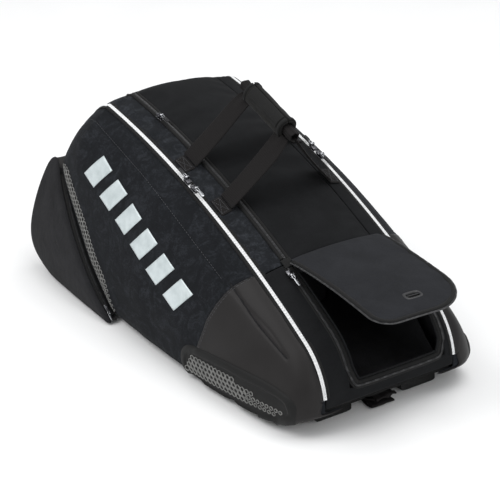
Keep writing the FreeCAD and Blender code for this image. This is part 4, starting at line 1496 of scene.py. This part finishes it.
def pocket_slider(side):
    plate = blocks([(-6, 6, 223, 230, 1.0, 4.6, 0.8), (-3, 3, 225.4, 227.6, 4.4, 6.2, 1.0)])
    tab = ring_plate(rounded_rect(5, 24, 224.5, 228.5), rounded_rect(7, 12, 225.5, 227.5), 2.3, 3.7)
    for label, part, material in (("body", plate, GUN), ("tab", tab, METAL)):
        verts, faces = merge(part)
        placed = turn(verts * (1, -1, 1), POCKET_ZIP_ANGLE) + (POCKET_SLIDER_X, 0.0, POCKET_SLIDER_Z)
        more = {"replaces": (f"{side}_pocket_slider",), "slot": "metal"} if label == "body" else {}
        obj = make(f"{side}_pocket_zip_{label}", mirror(placed, side), faces, material,
                   f"{side}_pocket_slider", **more)
        soften(obj, 0.4)


for SIDE_NAME in ("near", "far"):
    pocket_slider(SIDE_NAME)

# ---- carry handles -------------------------------------------------------------------------------

HX, HY, LEG_SPACING, WEB_WIDTH, GRIP_RISE, GRIP_HALF, GRIP_R = 12.0, 97.0, 115.0, 38.0, 114.0, 55.0, 19.0
GRIP_GAP = 0.45
SLOPE = math.asin((HX - CX) / R)
HZ = seam_z(HX) + 9.0
LEAN_ANGLE = math.atan2(GRIP_RISE / math.cos(SLOPE), HY)
REACH = HY / math.cos(LEAN_ANGLE)


def place_handle(points, side):
    """Handle points, given along the bag, up the leg and out of the webbing, moved to a side's anchors."""
    p = np.array(points, float)
    c, s = math.cos(LEAN_ANGLE), math.sin(LEAN_ANGLE)
    leant = np.stack([p[..., 0], p[..., 1] * c - p[..., 2] * s, p[..., 1] * s + p[..., 2] * c], -1)
    return mirror(turn(leant, SLOPE) + np.array([HX, -HY, HZ]), side)


def handle(side):
    for end, label in ((-1, "left"), (1, "right")):
        middle = end * LEG_SPACING / 2
        rows = []
        for s in np.linspace(0, 1, 30):
            y = 0.5 + (REACH - 11.5) * s
            gather = max(0.0, (s - 0.72) / 0.28) ** 2
            half = WEB_WIDTH / 2 - 3.0 * gather
            centre = middle - end * 4.0 * gather
            row = []
            for w in np.linspace(-1, 1, 11):
                bow = -3.0 * math.sin(math.pi * s) + 0.7 * w * w + 1.2 * math.sin(3.0 * s + w * 1.3 * end)
                fold = 2.4 * gather * math.cos(w * 5.0)
                row.append((centre + half * w, y, bow * (1 - 0.6 * gather) + fold))
            rows.append(row)
        obj = grid(f"{side}_handle_{label}_leg", place_handle(rows, side), WEB, f"{side}_handle",
                   slot="webbing", flip=side == "far",
                   replaces=(f"{side}_handle_webbing",) if end < 0 else ())
        layered(obj, 2.6, 0.0)
    axis_x = np.array([math.cos(SLOPE), 0, -math.sin(SLOPE)])
    axis_up = np.array([math.sin(SLOPE), 0, math.cos(SLOPE)])
    centre = np.array([HX + GRIP_RISE * math.tan(SLOPE), 0.0, HZ + GRIP_RISE])

    def ring_point(u, a, r):
        """Point of the half grip at a distance u along it, an angle and a radius."""
        return centre + axis_x * u + axis_up * r * math.sin(a) + np.array([0, -GRIP_GAP - r * math.cos(a), 0])

    def half_tube(name, u0, u1, radius_of, material, thick, steps=40, span=(-90, 90), **more):
        turns = np.linspace(math.radians(span[0]), math.radians(span[1]), 22)
        rows = [[ring_point(u, a, radius_of(u, a)) for a in turns] for u in np.linspace(u0, u1, steps)]
        obj = grid(name, mirror(rows, side), material, f"{side}_handle", flip=side == "far", **more)
        layered(obj, thick, -1.0)
        return obj

    half_tube(f"{side}_handle_core", -76, 76, lambda u, a: 8.6 + 0.9 * math.cos(a * 5 + u * 0.05)
              + 0.5 * math.sin(u * 0.31), WEB, 2.2)

    def pad_radius(u, a):
        ends = min(1.0, (GRIP_HALF - abs(u)) / 6.0 + 0.72)
        folds = 0.5 * noise.noise(Vector((u * 0.05, a * 1.4, 3.3 if side == "near" else 8.1)))
        flat = -2.0 * math.cos(a) ** 4
        return (GRIP_R - 1.2) * ends + 2.2 * folds + flat

    pad = half_tube(f"{side}_grip_cover", -GRIP_HALF, GRIP_HALF, pad_radius, GRIP, 6.5, slot="pad",
                    replaces=(f"{side}_grip_pad",))
    for u, label in ((-GRIP_HALF + 5, "a"), (GRIP_HALF - 5, "b")):
        ring = [ring_point(u, a, pad_radius(u, a)) for a in np.linspace(-1.5, 1.5, 26)]
        outward = [p - (centre + axis_x * u) for p in ring]
        sweep(f"{side}_grip_binding_{label}", mirror(ring, side), mirror(outward, side),
              [(-3.2, -0.4), (-2.6, 1.0), (2.6, 1.0), (3.2, -0.4)], TRIM, f"{side}_handle")
    if side == "near":
        half_tube("near_grip_lap", -GRIP_HALF + 14, GRIP_HALF - 10, lambda u, a: pad_radius(u, a) + 1.5,
                  TRIM, 1.4, 24, span=(5, 84))


ANCHOR_Y, ANCHOR_RUN = -116.0, 19.8
STITCH_PITCH, STITCH_LONG = 3.6, 2.4


def anchor_point(middle, w, y, lift):
    """A point on an anchor's webbing, which rises from the bag's top to the handle's hinge line."""
    x = middle + w * math.cos(SLOPE)
    share = (y - ANCHOR_Y) / ANCHOR_RUN
    base = seam_z(x) + crown(y) + 3.4
    tip = HZ - (x - HX) * math.tan(SLOPE) - 0.6
    return np.array((x, y, base + (tip - base) * share ** 2 + lift))


def anchors(side):
    for end, label in ((-1, "left"), (1, "right")):
        middle = HX + end * LEG_SPACING / 2 * math.cos(SLOPE)
        rows = [[anchor_point(middle, w, y, 0.0) for w in np.linspace(-WEB_WIDTH / 2, WEB_WIDTH / 2, 9)]
                for y in np.linspace(ANCHOR_Y, ANCHOR_Y + ANCHOR_RUN, 10)]
        obj = grid(f"{side}_anchor_{label}", mirror(rows, side), WEB, BODY, slot="webbing",
                   flip=side == "near", replaces=(f"{side}_handle_anchors",) if end < 0 else ())
        layered(obj, 2.4)
        verts, faces = [], []
        corners = [(-15, -114), (15, -114), (15, -101), (-15, -101)]
        lines = [(corners[i], corners[(i + 1) % 4]) for i in range(4)]
        lines += [(corners[0], corners[2]), (corners[1], corners[3])]
        for (w0, y0), (w1, y1) in lines:
            length = math.hypot(w1 - w0, y1 - y0)
            for k in range(int(length / STITCH_PITCH)):
                a, b = (anchor_point(middle, w0 + (w1 - w0) * d / length, y0 + (y1 - y0) * d / length, 0.25)
                        for d in (k * STITCH_PITCH, k * STITCH_PITCH + STITCH_LONG))
                way = (b - a) / np.linalg.norm(b - a)
                wide = np.cross(way, (0, 0, 1)) * 0.4
                i = len(verts)
                verts += [a - wide, a + wide, b + wide, b - wide, (a + b) / 2 + np.array((0, 0, 0.5))]
                faces += [(i, i + 1, i + 4), (i + 1, i + 2, i + 4), (i + 2, i + 3, i + 4), (i + 3, i, i + 4)]
        make(f"{side}_anchor_{label}_stitch", mirror(verts, side), faces, THREAD, BODY, smooth=False)


for SIDE_NAME in ("near", "far"):
    handle(SIDE_NAME)
    anchors(SIDE_NAME)

# ---- underside, dividers and floors --------------------------------------------------------------


def base_panel():
    """Quilted back panel, turned up under the nose."""
    route = [(-346, 0, 18.0), (120, 0, 18.0), (TURN_X, 0, 18.0), (377, 0, 40.6)]
    path = resample(rounded(route, 3, closed=False), 9)
    ups = upright(len(path))
    half, thick, quilt = 122.8, 4.7, 41.0
    low = [(y, -thick + 1.9 * abs(math.cos(math.pi * y / quilt)) ** 14)
           for y in np.linspace(-half + 3, half - 3, 60)]
    shape = [(-half, -1.5), (-half + 1, -3.6)] + low + [(half - 1, -3.6), (half, -1.5), (half, 2.4)]
    shape += [(half - 2, thick), (-half + 2, thick), (-half, 2.4)]
    obj = sweep("back_panel", path, ups, shape, PAD, BODY, slot="pad", replaces=("base_panel",))


base_panel()


def floor_panel(side):
    rows = []
    for x in XS:
        if underside(x) > 10.5:
            continue
        low = underside(x)
        width = half_width(x)
        top_t = t_at_height(x, 11.6)
        edge = max(width - 42, S + 1)
        flat = [(y, low) for y in np.linspace(S + 0.6, edge, 7)]
        curve = side_curve(x, np.linspace(0.05, max(top_t, 0.06), 10))
        rows.append([(x, -y, z + 0.1) for y, z in flat] + [(x, -max(y, edge), z + 0.1) for y, z in curve])
    points = np.array(rows)
    obj = grid(f"{side}_floor_cloth", mirror(points, side), TPU_DARK, BODY, flip=side == "far",
               slot="top_fabric", replaces=(f"{side}_floor_panel",), inner=LINING)
    thicken(obj, 2.6, inner=True)
    return obj


def divider(side):
    """Quilted wall between a racket compartment and the middle."""
    xs = [x for x in XS if -346 < x < 366]
    rows = []
    for x in xs:
        low = 24.0 if x < TURN_X else 24.5 + (x - TURN_X) * 0.29
        top = max(seam_z(x) - 4.2, low + 4)
        rows.append([(x, -(S - 3.2 - 1.5 * abs(math.cos(math.pi * z / 44)) ** 12), z)
                     for z in np.linspace(low, top, 44)])
    points = np.array(rows)
    obj = grid(f"{side}_divider_pad", mirror(points, side), LINING, BODY, slot="lining", flip=side == "far",
               replaces=(f"{side}_divider",))
    thicken(obj, 2.6, 0.0)


for SIDE_NAME in ("near", "far"):
    floor_panel(SIDE_NAME)
    divider(SIDE_NAME)


STRAP_Y = -83.0


def shoulder_strap(side):
    """Padded shoulder strap, stowed flat and turned up where it is sewn to the nose."""
    route = [(x, STRAP_Y, z) for x, z in ((-150, 6.3), (100, 6.3), (290, 6.4), (330, 10.5), (351, 12.5))]
    path = resample(rounded(route, 2, closed=False), 8)
    ups = upright(len(path))

    def shape(k):
        x = path[k][0]
        nose = min(1.0, max(0.0, (x - TURN_X) / 40))
        end = min(1.0, (x + 152) / 16 + 0.35)
        power = 3.2 + 5.0 * nose
        half, tall = 34.0 * end, 5.3 + 3.8 * nose
        return [(half * c, tall * s) for c, s in (boxy(a, power) for a in angles(40))]

    obj = sweep(f"{side}_strap_pad", mirror(path, side), ups, shape, PAD, BODY, slot="pad",
                replaces=(f"{side}_shoulder_strap",))
    for edge, label in ((-33.5, "a"), (33.5, "b")):
        line = mirror(path[1:-1] + np.array([0, edge, 0]), side)
        sweep(f"{side}_strap_edge_{label}", line, ups[1:-1], oval(1.9, 3.0, 10), TRIM, BODY)


for SIDE_NAME in ("near", "far"):
    shoulder_strap(SIDE_NAME)


def lower_webbing(side, first):
    rows = [[(x, STRAP_Y + w, 5.2 + 0.6 * math.sin(x * 0.06)) for w in np.linspace(-12.5, 12.5, 7)]
            for x in np.linspace(-328, -172, 60)]
    obj = grid(f"{side}_strap_webbing", mirror(rows, side), WEB, BODY, slot="webbing",
               replaces=("strap_lower_webbings",) if first else ())
    thicken(obj, 1.8, 0.0)


lower_webbing("near", True)
lower_webbing("far", False)


HANK_Y = 3.0


def webbing_hank():
    """Spare webbing folded over itself under the nose."""
    folds = ((304, 1.6), (352, 1.7), (368, 3.2), (366, 7.4), (340, 6.2), (308, 5.0), (300, 6.6),
             (306, 9.2), (338, 10.6), (364, 13.6), (369, 17.4), (360, 18.6), (340, 14.6))
    path = resample(rounded([(x, HANK_Y, z) for x, z in folds], 3, closed=False), 2.5)
    for k, p in enumerate(path):
        sway = np.array([1.5 * math.sin(k * 0.37), 2.5 * math.sin(k * 0.19), 0.9 * math.sin(k * 0.61)])
        p += sway * min(1.0, k / 12)
        p[2] = max(p[2], 1.3)
    tangent = np.gradient(path, axis=0)
    ups = np.cross(tangent, np.tile(np.array([0.0, 1.0, 0]), (len(path), 1)))

    def shape(k):
        share = k / (len(path) - 1)
        sway = 3.0 * math.sin(k * 0.21) * share
        half = 22.5 - 4.5 * share * abs(math.sin(k * 0.13))
        lower, upper = [], []
        for w in np.linspace(-1, 1, 13):
            bend = share * (1.5 * math.sin(w * 4.2 + k * 0.15) + 0.9 * math.sin(w * 9 - k * 0.31))
            lower.append((half * w + sway, bend - 0.8))
            upper.append((half * w + sway, bend + 0.8))
        return lower + upper[::-1]

    sweep("webbing_folds", path, ups, shape, WEB, BODY, slot="webbing", replaces=("webbing_hank",))


webbing_hank()

# carried-over hard parts keep their CAD shape and get the finish of the rest
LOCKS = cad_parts["ladder_locks"]
for material_slot in LOCKS.material_slots:
    material_slot.material = NYLON

# ---- floor, light and camera ---------------------------------------------------------------------


FLOOR_SIZE, FLOOR_CUTS, FLOOR_Z = 7.0, 12, -0.0006
WORLD_COLOUR, WORLD_STRENGTH = (0.98, 0.99, 1.0, 1.0), 0.62
LAMPS = (("key", (-0.6, -2.4, 3.0), 62.0, 2.2), ("top", (0.4, 0.9, 3.4), 56.0, 2.6),
         ("fill", (3.0, 0.2, 1.6), 16.0, 1.8))
LAMP_AIM = Vector((0, 0, 0.15))
EYE, AIM, LENS_MM, SENSOR_MM = Vector((2.0995, -1.413, 1.426)), Vector((-0.0513, 0.0, 0.1146)), 122.2, 36.0


def studio():
    n = Nodes("floor_paper")
    n.colour(n.ramp(n.noise(3.0, 2.0), [(0.3, (0.90, 0.90, 0.90)), (0.7, (0.93, 0.93, 0.93))]))
    n.put(n.shader, Roughness=0.8)
    n.bump(n.noise(400, 2.0), 0.05, 0.2)
    ticks = np.linspace(-FLOOR_SIZE, FLOOR_SIZE, FLOOR_CUTS)
    verts = [(x, y, FLOOR_Z) for x in ticks for y in ticks]
    mesh = bpy.data.meshes.new("floor")
    mesh.from_pydata(verts, [], grid_faces(FLOOR_CUTS, FLOOR_CUTS))
    mesh.materials.append(n.material)
    floor = bpy.data.objects.new("floor", mesh)
    scene.collection.objects.link(floor)
    world = bpy.data.worlds.new("studio")
    world.use_nodes = True
    background = world.node_tree.nodes["Background"].inputs
    background["Color"].default_value = WORLD_COLOUR
    background["Strength"].default_value = WORLD_STRENGTH
    scene.world = world
    for name, place, power, size in LAMPS:
        data = bpy.data.lights.new(name, "AREA")
        data.energy = power
        data.size = size
        light = bpy.data.objects.new(name, data)
        light.location = place
        light.rotation_euler = (LAMP_AIM - Vector(place)).to_track_quat("-Z", "Y").to_euler()
        scene.collection.objects.link(light)
    lens = bpy.data.cameras.new("camera")
    lens.lens = LENS_MM
    lens.sensor_width = SENSOR_MM
    lens.clip_end = 50.0
    camera = bpy.data.objects.new("camera", lens)
    scene.collection.objects.link(camera)
    camera.location = EYE
    camera.rotation_mode = "QUATERNION"
    camera.rotation_quaternion = (AIM - EYE).to_track_quat("-Z", "Y")
    scene.camera = camera
    scene.view_settings.view_transform = "Standard"
    scene.view_settings.look = "None"


studio()
